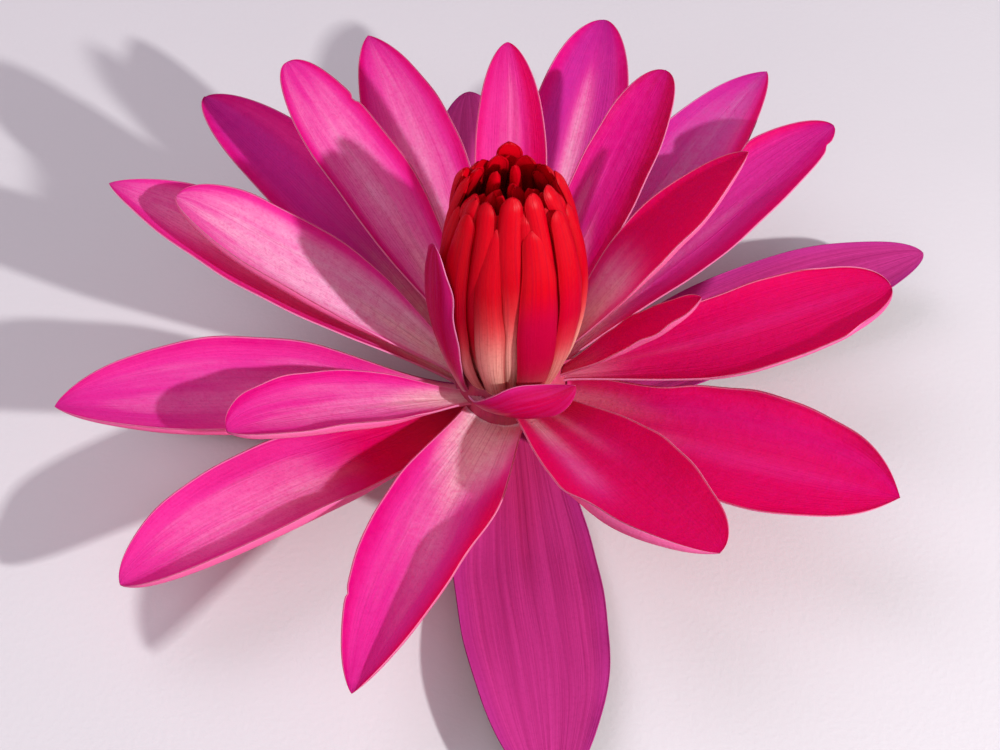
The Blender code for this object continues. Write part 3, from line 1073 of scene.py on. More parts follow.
@dataclass
class BladeMesh:
    """Turns a blade into one closed mesh that carries the marks its finish reads."""

    blade: Blade
    cells: tuple[int, int]  # along and across
    finish: Finish
    lens: float = 0.62  # how much thinner the wall is at the margins than at the midrib
    tip_swell: float = 0.0  # how much thicker the wall is near the tip

    def rows(self) -> np.ndarray:
        """Shares of the length, from just inside the ovary to the tip."""
        even = np.linspace(0.0, 1.0, self.cells[0] + 1)
        spread = 1 - (1 - even) ** TIP_CROWDING
        tuck = ROOT_TUCK / self.blade.length
        return spread * (1 + tuck) - tuck

    def walls(self) -> tuple[np.ndarray, np.ndarray, np.ndarray]:
        """The inner face, the outer face and the margin between them.

        Returns:
            Rows and columns of points for each face, and for the middle surface with its border pushed out.
        """
        along, side = self.rows(), columns(self.cells[1])
        middle = self.blade.surface(along, side)
        down, over = np.gradient(middle, axis=0), np.gradient(middle, axis=1)
        normal = unit(np.cross(down, over))
        thinning = 1 - self.lens * side[None, :] ** 2
        taper = ROOT_WALL - WALL_LOSS * np.clip(along, 0, 1) + self.tip_swell * smooth(along, *TIP_SWELLING)
        closing = np.sqrt(1 - CLOSING * smooth(along, CLOSING_START, 1.0))
        half = self.blade.tier.thickness / 2 * thinning * (taper * closing)[:, None]
        relief = self.blade.relief(along, side)
        inner = middle + normal * (half + relief)[..., None]
        outer = middle - normal * (half - 0.5 * relief)[..., None]
        return inner, outer, self.margin(middle, half)

    @staticmethod
    def margin(middle: np.ndarray, half: np.ndarray) -> np.ndarray:
        """The outermost line of the rounded edge, pushed out from the middle surface's own border."""
        pushed = middle.copy()
        for axis, end, inside in ((0, 0, 1), (0, -1, -2), (1, 0, 1), (1, -1, -2)):
            rim, near = [slice(None)] * 2, [slice(None)] * 2
            rim[axis], near[axis] = end, inside
            rim, near = tuple(rim), tuple(near)
            pushed[rim] = middle[rim] + unit(middle[rim] - middle[near]) * half[rim][..., None] * EDGE_ROUND
        return pushed

    def build(self) -> bpy.types.Object:
        """Makes the object, with the marks "place" and "tone" and a UV map."""
        inner, outer, edge = self.walls()
        rows, cols = inner.shape[:2]
        index = np.arange(rows * cols).reshape(rows, cols)
        border = np.concatenate([index[0, :-1], index[:-1, -1], index[-1, :0:-1], index[:0:-1, 0]])
        count = rows * cols
        corners = np.concatenate([inner.reshape(-1, 3), outer.reshape(-1, 3), edge.reshape(-1, 3)[border]])
        cell = [index[:-1, :-1], index[:-1, 1:], index[1:, 1:], index[1:, :-1]]
        quads = np.stack(cell, axis=-1).reshape(-1, 4)
        rim = 2 * count + np.arange(len(border))
        ahead = np.roll(np.arange(len(border)), -1)
        upper_strip = np.stack([border, rim, rim[ahead], border[ahead]], axis=-1)
        lower_strip = np.stack([rim, border + count, border[ahead] + count, rim[ahead]], axis=-1)
        faces = outward(corners, np.concatenate([quads[:, ::-1], quads + count, upper_strip, lower_strip]))

        along, side = np.clip(self.rows(), 0, 1), columns(self.cells[1])
        flat = np.stack(np.broadcast_arrays(side[None, :], along[:, None]), axis=-1).reshape(-1, 2)
        upper = np.concatenate([np.ones(count), np.zeros(count), np.full(len(border), 0.5)])
        place = np.column_stack([np.concatenate([flat, flat, flat[border]]), upper])
        tone = self.blade.tone(along, side).reshape(-1, 3)
        made = new_mesh(f"{self.blade.name}_finished", corners, faces, self.finish.material())
        mark(made, "place", place)
        mark(made, "tone", np.concatenate([tone, tone, tone[border]]))
        loops = np.zeros(len(made.data.loops), dtype=np.int32)
        made.data.loops.foreach_get("vertex_index", loops)
        spots = place[loops][:, :2] * (0.5, 1.0) + (0.5, 0.0)
        made.data.uv_layers.new(name="UVMap").data.foreach_set("uv", spots.astype(np.float32).ravel())
        return made


# ---------------------------------------------------------------- meshes and pieces


def unit(ways: np.ndarray) -> np.ndarray:
    """Directions of length 1."""
    return ways / np.maximum(np.linalg.norm(ways, axis=-1, keepdims=True), 1e-12)


def outward(corners: np.ndarray, faces: np.ndarray) -> np.ndarray:
    """The same quads, all turned if need be so that they face out of the closed mesh.

    Args:
        corners: points.
        faces: four corner numbers each.

    Returns:
        The faces.
    """
    a, b, c, d = (corners[faces[:, i]] for i in range(4))
    volume = np.einsum("ij,ij->", np.cross(a, b), c) + np.einsum("ij,ij->", np.cross(a, c), d)
    return faces if volume > 0 else faces[:, ::-1]


def in_scene(name: str, data: bpy.types.ID) -> bpy.types.Object:
    """Makes an object of a mesh, a lamp or a camera, linked to the scene."""
    made = bpy.data.objects.new(name, data)
    bpy.context.scene.collection.objects.link(made)
    return made


def new_mesh(
    name: str, corners: np.ndarray, faces: np.ndarray | Sequence, skin: bpy.types.Material
) -> bpy.types.Object:
    """Makes a smooth-shaded object with its place in its mesh.

    Args:
        name: the piece's name.
        corners: points in metres.
        faces: corner numbers.
        skin: its material.

    Returns:
        The object, linked to the scene.
    """
    mesh = bpy.data.meshes.new(name)
    mesh.from_pydata([tuple(map(float, c)) for c in corners], [], [tuple(map(int, f)) for f in faces])
    mesh.shade_smooth()
    mesh.materials.append(skin)
    return in_scene(name, mesh)


def mark(piece: bpy.types.Object, name: str, values: np.ndarray) -> None:
    """Writes three numbers to every point of a piece for its material to read."""
    layer = piece.data.attributes.new(name, "FLOAT_VECTOR", "POINT")
    layer.data.foreach_set("vector", values.astype(np.float32).ravel())


def settle(piece: bpy.types.Object, slot: str, *nodes: str) -> None:
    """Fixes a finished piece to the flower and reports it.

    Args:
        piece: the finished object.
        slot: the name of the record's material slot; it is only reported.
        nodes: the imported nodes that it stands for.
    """
    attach(piece, BODY)
    if nodes:
        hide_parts(*nodes)
    faces = len(piece.data.polygons)
    LOG.info("%s: %d faces, slot %s, stands for %s", piece.name, faces, slot, nodes or "nothing")


def lathe(
    radii: np.ndarray, heights: np.ndarray, turns: int, shape: Callable[[np.ndarray, np.ndarray], np.ndarray]
) -> tuple[np.ndarray, list[tuple[int, ...]]]:
    """Turns a profile about the flower's axis into a closed mesh.

    Args:
        radii: the profile's radii from its top pole to its bottom pole; the first and last are 0.
        heights: the profile's heights.
        turns: how many steps round.
        shape: given the angle and the profile's row number, how far to push the point outwards.

    Returns:
        Points and faces.
    """
    inner = slice(1, len(radii) - 1)
    row = np.arange(len(radii))[inner]
    angles, rows = np.meshgrid(np.arange(turns) * 2 * np.pi / turns, row)
    radius = radii[inner][:, None] + shape(angles, rows)
    height = np.broadcast_to(heights[inner][:, None], radius.shape)
    points = np.stack([radius * np.cos(angles), radius * np.sin(angles), height], axis=-1).reshape(-1, 3)
    corners = np.concatenate([points, [(0, 0, heights[0]), (0, 0, heights[-1])]]) + AXIS
    rings = np.arange(len(row) * turns).reshape(len(row), turns)
    after = np.roll(rings, -1, axis=1)
    quads = np.stack([rings[:-1], rings[1:], after[1:], after[:-1]], axis=-1).reshape(-1, 4)
    top, bottom = len(corners) - 2, len(corners) - 1
    faces = [tuple(q) for q in quads]
    faces += [(top, a, b) for a, b in zip(rings[0], after[0])]
    faces += [(bottom, b, a) for a, b in zip(rings[-1], after[-1])]
    return corners, faces


def between(row: np.ndarray, rows: tuple[int, int]) -> np.ndarray:
    """Whether a profile's row is one of a run of rows, both ends included."""
    return (row >= rows[0]) & (row <= rows[1])


class FingerRing:
    """A Geometry Nodes tree that stands tapering, bent fingers round the flower's axis."""

    NAME = "finger_ring"
    INPUTS = {
        "Count": "Int",
        "Ring Radius": "Float",
        "Ring Height": "Float",
        "Length": "Float",
        "Bulge": "Float",
        "Lean": "Float",
        "Width": "Float",
        "Thickness": "Float",
        "Taper": "Float",
        "Unevenness": "Float",
        "Turn": "Float",
        "Seed": "Int",
        "Finish": "Material",
    }
    LINE_POINTS = 40  # down a finger
    ROUND_POINTS = 10  # round a finger
    END_SHARPNESS = 28.0  # the higher, the later a finger's end rounds off
    END_SIZE = 1.02  # above 1, the very end keeps a little width
    WOBBLE = 0.3  # radians by which a finger may face aside
    FLUSH = 0.9  # how far a finger's red runs down to its foot

    def tree(self) -> bpy.types.NodeTree:
        """The tree, built the first time it is asked for."""
        found = bpy.data.node_groups.get(self.NAME)
        if found is not None:
            return found
        tree = bpy.data.node_groups.new(self.NAME, "GeometryNodeTree")
        tree.interface.new_socket("Geometry", in_out="INPUT", socket_type="NodeSocketGeometry")
        for name, kind in self.INPUTS.items():
            tree.interface.new_socket(name, in_out="INPUT", socket_type=f"NodeSocket{kind}")
        tree.interface.new_socket("Geometry", in_out="OUTPUT", socket_type="NodeSocketGeometry")
        graph = Graph(tree)
        given = graph.node("NodeGroupInput").outputs
        ring = self.ring(graph, given, self.finger(graph, given))
        ring = graph.plain("GeometryNodeRealizeInstances", Geometry=ring)
        ring = graph.plain("GeometryNodeSetShadeSmooth", Geometry=ring)
        ring = graph.plain("GeometryNodeSetMaterial", Geometry=ring, Material=given["Finish"])
        graph.fill(graph.node("NodeGroupOutput"), Geometry=ring)
        return tree

    def finger(self, graph: Graph, given: Outputs) -> Socket:
        """One finger: a bent line swept with a flattened ring, marked for its finish.

        Args:
            graph: the tree.
            given: the tree's inputs.

        Returns:
            The finger's mesh.
        """
        line = graph.plain(
            "GeometryNodeCurveQuadraticBezier", Resolution=self.LINE_POINTS, Start=(0.0, 0.0, 0.0),
            Middle=graph.vector(given["Bulge"], 0.0, graph.times(given["Length"], 0.5)),
            End=graph.vector(graph.times(given["Lean"], -1.0), 0.0, given["Length"]),
        )
        share = graph.node("GeometryNodeSplineParameter").outputs["Factor"]
        line = self.noted(graph, line, "along", share)
        profile = graph.plain("GeometryNodeCurvePrimitiveCircle", Resolution=self.ROUND_POINTS, Radius=1.0)
        spot = graph.parts(graph.plain("GeometryNodeInputPosition"))
        profile = self.noted(graph, profile, "side", spot[1])
        profile = self.noted(graph, profile, "inner", spot[0])
        flat = graph.vector(graph.times(given["Thickness"], 0.5), graph.times(given["Width"], 0.5), 1.0)
        profile = graph.plain("GeometryNodeTransform", Geometry=profile, Scale=flat)
        late = graph.maths("POWER", share, self.END_SHARPNESS)
        round_end = graph.maths("SQRT", graph.less(self.END_SIZE, late))
        slim = graph.less(1.0, graph.times(share, given["Taper"]))
        swept = graph.plain(
            "GeometryNodeCurveToMesh", Curve=line, Profile_Curve=profile, Scale=graph.times(round_end, slim),
            Fill_Caps=True,
        )
        side, along, inner = (
            graph.fill(graph.node("GeometryNodeInputNamedAttribute", data_type="FLOAT"), Name=name).outputs[0]
            for name in ("side", "along", "inner")
        )
        place = graph.vector(side, along, graph.maths("LESS_THAN", inner, 0.0))
        return self.noted(graph, swept, "place", place, kind="FLOAT_VECTOR")

    def ring(self, graph: Graph, given: Outputs, finger: Socket) -> Socket:
        """Stands the finger on evenly spaced points round the axis, each a little longer or shorter.

        Args:
            graph: the tree.
            given: the tree's inputs.
            finger: the finger's mesh.

        Returns:
            The ring, still as instances.
        """
        base = graph.plain("GeometryNodeMeshCircle", Vertices=given["Count"], Radius=given["Ring Radius"])
        spot = graph.parts(graph.plain("GeometryNodeInputPosition"))
        facing = graph.maths("ARCTAN2", spot[1], spot[0])
        spread = given["Unevenness"]
        uneven = self.chance(graph, graph.less(1.0, spread), graph.maths("ADD", 1.0, spread), given["Seed"])
        wobble = self.chance(graph, -self.WOBBLE, self.WOBBLE, graph.maths("ADD", given["Seed"], 5.0))
        heading = self.turned(graph, graph.maths("ADD", facing, wobble))
        stood = graph.plain(
            "GeometryNodeInstanceOnPoints", Points=base, Instance=finger, Rotation=heading,
            Scale=graph.vector(1.0, 1.0, uneven),
        )
        tone = graph.vector(self.FLUSH, uneven, 0.0)
        toned = self.noted(graph, stood, "tone", tone, kind="FLOAT_VECTOR", domain="INSTANCE")
        return graph.plain(
            "GeometryNodeTransform", Geometry=toned, Rotation=self.turned(graph, given["Turn"]),
            Translation=graph.vector(float(AXIS[0]), float(AXIS[1]), given["Ring Height"]),
        )

    @staticmethod
    def chance(graph: Graph, low: Value, high: Value, seed: Value) -> Socket:
        """A random number for each point, between two others."""
        made = graph.node("FunctionNodeRandomValue", data_type="FLOAT")
        return graph.fill(made, Min=low, Max=high, Seed=seed).outputs[1]

    @staticmethod
    def turned(graph: Graph, angle: Value) -> Socket:
        """A turn about the upright axis."""
        made = graph.node("FunctionNodeEulerToRotation")
        graph.feed(made.inputs[0], graph.vector(0.0, 0.0, angle))
        return made.outputs[0]

    @staticmethod
    def noted(
        graph: Graph, source: Socket, name: str, value: Value, kind: str = "FLOAT", domain: str = "POINT"
    ) -> Socket:
        """Stores a named attribute on what passes through."""
        store = graph.node("GeometryNodeStoreNamedAttribute", data_type=kind, domain=domain)
        return graph.fill(store, Geometry=source, Name=name, Value=value).outputs[0]

    def bake(self, name: str, finish: Finish, **values: float) -> bpy.types.Object:
        """Makes one ring as a plain mesh.

        Args:
            name: the piece's name.
            finish: its finish.
            values: the tree's inputs by name, with an underscore for each space.

        Returns:
            The object, without a modifier.
        """
        tree = self.tree()
        carrier = in_scene(name + "_carrier", bpy.data.meshes.new(name + "_carrier"))
        modifier = carrier.modifiers.new("Ring", "NODES")
        modifier.node_group = tree
        sockets = {item.name: item.identifier for item in tree.interface.items_tree if item.in_out == "INPUT"}
        for label, value in values.items():
            modifier[sockets[label.replace("_", " ")]] = value
        modifier[sockets["Finish"]] = finish.material()
        shown = carrier.evaluated_get(bpy.context.evaluated_depsgraph_get())
        mesh = bpy.data.meshes.new_from_object(shown)
        carrier.modifiers.remove(modifier)
        bpy.data.objects.remove(carrier)
        mesh.name = name
        return in_scene(name, mesh)


# ---------------------------------------------------------------- sub-assemblies


@dataclass
class Sepals:
    """Four sepals that droop to the surface the flower rests on and rise again to their tips."""

    tier: Tier = Tier(7.0 * MM, 7.4 * MM, 1.0 * MM, foot=0.34, widest=0.50, cup=(34, 18, 16), heel=0.36)
    broad_tier: Tier = replace(tier, foot=0.66, widest=0.44)
    settle_depth: float = -0.08 * MM  # how far the backs sink below the surface; negative stays above it
    halvings: int = 40  # of the range in which the droop is looked for
    cells: tuple[int, int] = (84, 36)

    def resting_droop(self, length: float, tip_rise: float) -> float:
        """The slope at a sepal's root, in degrees, that lets its back just meet the surface.

        Args:
            length: the sepal's length.
            tip_rise: how steeply it rises past its heel, in degrees.

        Returns:
            The slope, negative because it falls.
        """
        drop = self.tier.root_height - self.tier.thickness / 2 + self.settle_depth
        shallow, steep = 0.0, math.pi / 2
        for _ in range(self.halvings):
            droop = (shallow + steep) / 2
            bend_radius = length * self.tier.heel / (droop + math.radians(tip_rise))
            if bend_radius * (1 - math.cos(droop)) < drop:
                shallow = droop
            else:
                steep = droop
        return -math.degrees(droop)

    def blades(self) -> list[Blade]:
        """The four sepals."""
        return [
            Blade(
                f"sepal_{side}", tier, heading, length, width,
                (self.resting_droop(length, tip_rise), tip_rise), sweep=sweep, gutter=1.2,
            )
            for side, tier, heading, length, width, tip_rise, sweep in (
                ("front", self.broad_tier, -85.6, 80 * MM, 27 * MM, 8, 0),
                ("right", self.tier, 34, 90 * MM, 24 * MM, 11, -10),
                ("back", self.tier, 96, 86 * MM, 24 * MM, 14, 0),
                ("left", self.tier, 165, 72 * MM, 22 * MM, 8, 9),
            )
        ]

    def build(self) -> None:
        """Builds and fixes the sepals."""
        for blade in self.blades():
            made = BladeMesh(blade, self.cells, SEPAL, lens=0.7).build()
            settle(made, "sepal", blade.name)


@dataclass
class Petals:
    """Twenty-one petals in five tiers."""

    outer: Tier = Tier(10.6 * MM, 10.2 * MM, 0.8 * MM, foot=0.28, widest=0.56, cup=(45, 28, 26))
    second: Tier = Tier(11.0 * MM, 12.9 * MM, 0.8 * MM, foot=0.26, widest=0.56, cup=(45, 30, 26))
    third: Tier = Tier(11.0 * MM, 15.6 * MM, 0.8 * MM, foot=0.26, widest=0.56, cup=(45, 30, 26))
    inner: Tier = Tier(10.5 * MM, 18.3 * MM, 0.8 * MM, foot=0.30, widest=0.56, cup=(45, 32, 28))
    curled: Tier = Tier(11.5 * MM, 19.0 * MM, 0.8 * MM, foot=0.30, widest=0.52, cup=(30, 38, 38))
    dark: tuple[str, ...] = ("inner_petal_4", "curled_petal")  # the petals whose backs are deep in colour
    cells: tuple[int, int] = (84, 36)

    # High warmth on the right-hand petals partly paints light through their shaded flesh; negative warmth
    # partly paints sky reflection on shaded petals.
    def outer_blades(self) -> list[Blade]:
        """The outermost tier."""
        tier = self.outer
        return [
            Blade("outer_petal_1", tier, -29, 68 * MM, 26 * MM, (17, 7), roll=16, tip=Tip.BEAKED, flush=1.2,
                  warmth=0.78, keel=4, flare=0.4,
                  bands=(Band(-0.1, 0.18, -0.3, -0.25), Band(0.55, 0.3, 0.0, -0.3))),
            Blade("outer_petal_2", tier, 52, 81 * MM, 21 * MM, (24, 14), tip=Tip.ACUTE, flush=-0.1,
                  warmth=-0.5, keel=6, hook=-0.12, bands=(Band(-0.9, 0.3, 0.4, 1.1), Band(0.1, 0.3, -0.3))),
            Blade("outer_petal_3", tier, 136, 80 * MM, 21 * MM, (25, 15), flush=0.6, warmth=-0.5,
                  keel=8, hook=0.15, bands=(Band(-0.7, 0.3, -0.1, 0.5), Band(0.95, 0.3, 0.2, 0.4))),
            Blade("outer_petal_4", tier, -143, 74 * MM, 23 * MM, (10, 2), roll=-6, flush=0.0,
                  keel=10, flare=0.2, rolls=(Roll(1, 0.60, (0.1, 0.95), 85),),
                  # the deep wide band at the root is painted shade
                  bands=(Band(0.9, 0.3, 0.6, 0.3), Band(0.0, 2.0, 2.2, 1.0, (-0.7, 0.50)))),
        ]

    def second_blades(self) -> list[Blade]:
        """The second tier."""
        tier = self.second
        broad_footed = replace(tier, foot=0.62, widest=0.5)
        return [
            Blade("second_petal_1", tier, 37, 72 * MM, 20 * MM, (28, 22), sweep=-4, flush=0.55,
                  warmth=-0.3, keel=5, nicks=(Nick(-1, 0.945, 1.3, 0.012), Nick(1, 0.75, 0.9, 0.032)),
                  rolls=(Roll(1, 0.72, (0.5, 1.0), 55),),
                  creases=(Crease(0.62, (0.5, 0.98), 0.3 * MM, 0.03),),
                  bands=(Band(-0.15, 0.14, -0.35), Band(-0.9, 0.3, 0.3, 0.7), Band(0.9, 0.25, 0.3, 0.8))),
            Blade("second_petal_2", tier, 76, 78 * MM, 21 * MM, (25, 16), flush=0.5, warmth=-0.5,
                  keel=8, bands=(Band(0.0, 0.2, -1.0, 0.6, (-0.3, 0.95)), Band(-0.95, 0.25, 0.4, 0.8),
                                 Band(0.95, 0.2, 0.3, 0.6))),
            Blade("second_petal_3", tier, 112, 75 * MM, 20 * MM, (26, 18), tip=Tip.ACUTE, flush=0.05, keel=8,
                  bands=(Band(-0.1, 0.3, -0.3), Band(-0.95, 0.2, 0.6, 0.4), Band(0.95, 0.2, 0.5, 0.4))),
            # its paler flush partly paints light on a part that lies in the shadow of third_petal_5
            Blade("second_petal_4", tier, 165, 75 * MM, 22 * MM, (31, 23), tip=Tip.ACUTE, flush=-0.3, keel=6,
                  bands=(Band(0.9, 0.4, 0.4, 0.2),)),
            Blade("second_petal_5", tier, -162, 75 * MM, 24 * MM, (17, 11), sweep=-3, roll=-5, tip=Tip.ACUTE,
                  flush=0.15, warmth=-0.22, keel=9,
                  rolls=(Roll(1, 0.76, (0.1, 0.95), 75), Roll(-1, 0.95, (0.1, 0.6), 0, 0.17)),
                  bands=(Band(0.9, 0.25, 0.4, 0.4), Band(-0.95, 0.2, 0.2, 0.2))),
            Blade("second_petal_6", broad_footed, -108, 72 * MM, 22 * MM, (15, 6), tip=Tip.ACUTE, flush=0.3,
                  warmth=-0.1, keel=12, rolls=(Roll(1, 0.22, (0.3, 0.95), 42),),
                  nicks=(Nick(-1, 0.76, 0.22, 0.010),),
                  # the deep warm band on side 1 partly paints shade on that half; the pale band at the foot
                  # partly paints light where the foot lies in shadow
                  bands=(Band(0.95, 0.45, 0.6, 0.9, (0.1, 1.3)), Band(-0.95, 0.2, 0.4, 0.3),
                         Band(0.05, 0.12, -0.35, 0.0, (0.1, 0.8)), Band(0.0, 2.0, -0.9, 0.0, (-0.6, 0.4)))),
        ]

    def third_blades(self) -> list[Blade]:
        """The third tier."""
        tier = self.third
        broad_footed = replace(tier, foot=0.50, widest=0.54)
        return [
            Blade("third_petal_1", broad_footed, -62, 58 * MM, 23 * MM, (24, 14), flush=0.85, warmth=0.85,
                  keel=3, hook=0.34, wave=0.2 * MM, rolls=(Roll(-1, 0.74, (0.5, 1.0), 130, 0.16),),
                  bands=(Band(-0.4, 0.25, -0.7, -0.55, (-0.2, 0.75)),
                         Band(0.3, 0.2, -0.4, -0.3, (-0.2, 0.6)))),
            Blade("third_petal_2", tier, 4, 64 * MM, 22 * MM, (5, 21), sweep=4, roll=6, tip=Tip.ROUND,
                  flush=0.9, warmth=0.8, keel=2,
                  rolls=(Roll(-1, 0.93, (0.2, 1.0), 110, 0.05), Roll(-1, 0.80, (0.80, 1.0), 110, 0.08),
                         Roll(1, 0.86, (0.7, 1.0), 110)),
                  bands=(Band(0.2, 0.16, -0.15, -0.2, (0.1, 1.1)), Band(0.0, 2.0, 0.0, -0.3, (-0.6, 0.3)))),
            # third_petal_3: its deep flush and the deep band on side -1 partly paint shade; the pale band on
            # side 1 partly paints light
            Blade("third_petal_3", tier, 58, 59 * MM, 15 * MM, (42, 32), tip=Tip.ROUND, flush=1.5,
                  warmth=0.15, keel=6, creases=(Crease(0.2, (0.1, 0.9), 0.2 * MM),),
                  bands=(Band(0.6, 0.35, -1.5, -0.3, (-0.3, 0.8)), Band(-0.75, 0.4, 0.5, 0.5),
                         Band(0.0, 2.0, -1.6, -0.1, (-0.6, 0.45)))),
            Blade("third_petal_4", tier, 131, 67 * MM, 17 * MM, (38, 28), tip=Tip.ROUND, flush=-0.15, keel=3,
                  nicks=(Nick(-1, 0.80, 0.45, 0.012),),
                  creases=(Crease(0.12, (0.1, 0.85), 0.28 * MM), Crease(-0.2, (0.15, 0.7), 0.25 * MM)),
                  bands=(Band(0.95, 0.15, 0.5, 0.2), Band(-0.95, 0.18, 0.6, 0.4),
                         Band(0.0, 2.0, 0.35, 0.1, (-0.6, 0.55)))),
            Blade("third_petal_5", tier, 168, 62 * MM, 20 * MM, (38, 28), tip=Tip.ROUND, flush=-0.6, keel=2,
                  rolls=(Roll(1, 0.78, (0.12, 0.9), 85, 0.03),),
                  creases=(Crease(0.45, (0.1, 0.8), 0.3 * MM), Crease(-0.35, (0.45, 0.8), 0.22 * MM, 0.06)),
                  bands=(Band(0.95, 0.2, 0.9, 0.2), Band(-0.98, 0.12, 0.6, 0.2))),
            Blade("third_petal_6", tier, -146, 52 * MM, 18 * MM, (30, 18), tip=Tip.ROUND, flush=0.1, keel=7,
                  rolls=(Roll(1, 0.74, (0.15, 0.95), 85, 0.03),),
                  creases=(Crease(-0.1, (0.1, 0.6), 0.2 * MM), Crease(0.3, (0.1, 0.5), 0.2 * MM)),
                  bands=(Band(0.9, 0.3, 0.6, 0.4), Band(-0.95, 0.2, 0.4, 0.2))),
        ]

    def inner_blades(self) -> list[Blade]:
        """The innermost tier, and the tiny petal curled round the urn's foot."""
        tier = self.inner
        return [
            Blade("inner_petal_1", tier, -6, 31 * MM, 9.4 * MM, (35, 41), sweep=5, flush=0.9,
                  warmth=0.95, rolls=(Roll(-1, 0.66, (0.2, 0.95), 80),),
                  bands=(Band(0.0, 2.0, -0.3, -0.3, (-0.6, 0.5)),)),
            Blade("inner_petal_2", tier, 25, 53 * MM, 15 * MM, (49, 47), sweep=-4, tip=Tip.ACUTE, flush=0.85,
                  warmth=0.95, keel=3, rolls=(Roll(-1, 0.86, (0.15, 0.95), 105, 0.03),),
                  bands=(Band(0.0, 2.0, -1.3, -0.8, (-0.6, 0.60)),)),
            Blade("inner_petal_3", tier, 91, 55 * MM, 14.4 * MM, (64, 52), flush=0.3, warmth=0.25, keel=2,
                  creases=(Crease(-0.05, (0.05, 0.9), 0.3 * MM), Crease(-0.3, (0.1, 0.8), 0.3 * MM),
                           Crease(0.2, (0.1, 0.7), 0.25 * MM)),
                  # the deep warm band on side -1 partly paints shade
                  bands=(Band(-0.75, 0.3, 0.7, 0.6), Band(0.95, 0.15, 0.4, 0.1))),
            Blade("inner_petal_4", tier, 205, 38 * MM, 13 * MM, (69, 98), flush=0.75, warmth=0.3),
            Blade("curled_petal", self.curled, -122, 11.6 * MM, 9.8 * MM, (30, 80), sweep=72, roll=-60,
                  tip=Tip.ACUTE, flush=0.8, warmth=0.4, gutter=1.0, wave=0.1 * MM,
                  nicks=(Nick(1, 0.5, 0.9, 0.25),)),
        ]

    def build(self) -> None:
        """Builds and fixes the petals."""
        for blade in self.outer_blades() + self.second_blades() + self.third_blades() + self.inner_blades():
            finish = DARK_PETAL if blade.name in self.dark else PETAL
            made = BladeMesh(blade, self.cells, finish).build()
            settle(made, "petal", blade.name)


@dataclass(frozen=True)
class Odd:
    """How a stamen differs from the rest of its ring."""

    length: float = 1.0  # share of the ring's own
    width: float = 1.0  # share of the ring's own
    flush: float = 0.5  # how far its red runs down to the foot
    # the pink foot is partly painted shadow
    warmth: float = 0.0  # how pink its foot is
    turn: float = 0.0  # degrees round the ring from its even place
    upright: float = 0.0  # degrees by which its tip turns less inwards


@dataclass(frozen=True)
class StamenRing:
    """A ring of evenly spaced stamens, each a little unlike the next."""

    name: str
    tier: Tier
    first: float  # the heading of its first stamen, degrees
    length: float
    width: float
    tip_rise: float  # how far each has turned inwards at its tip, degrees
    flush: Span  # the least and most that a stamen's red runs down to its foot
    swell: float  # how much thicker each is near its tip
    odd: dict[int, Odd]  # the stamens that differ most, by number
    count: int = 11
    strap_rise: float = 66.0  # how steeply each leaves the ovary, degrees

    def blades(self) -> list[Blade]:
        """The ring's stamens."""
        draw = np.random.default_rng(len(self.name) + int(abs(self.first)))
        made = []
        for number in range(1, self.count + 1):
            heading = self.first + (number - 1) * 360 / self.count
            usual = Odd(
                length=draw.uniform(0.93, 1.02),
                width=draw.uniform(0.86, 1.04),
                flush=draw.uniform(*self.flush),
            )
            own = self.odd.get(number, usual)
            tip_rise = self.tip_rise + draw.uniform(-2.0, 2.0) - own.upright
            made.append(Blade(
                f"{self.name}_{number:02d}", self.tier, heading + own.turn, self.length * own.length,
                self.width * own.width, (self.strap_rise, tip_rise), tip=Tip.FINGER, gutter=1.0,
                wave=0.12 * MM, flush=own.flush, warmth=own.warmth,
            ))
        return made


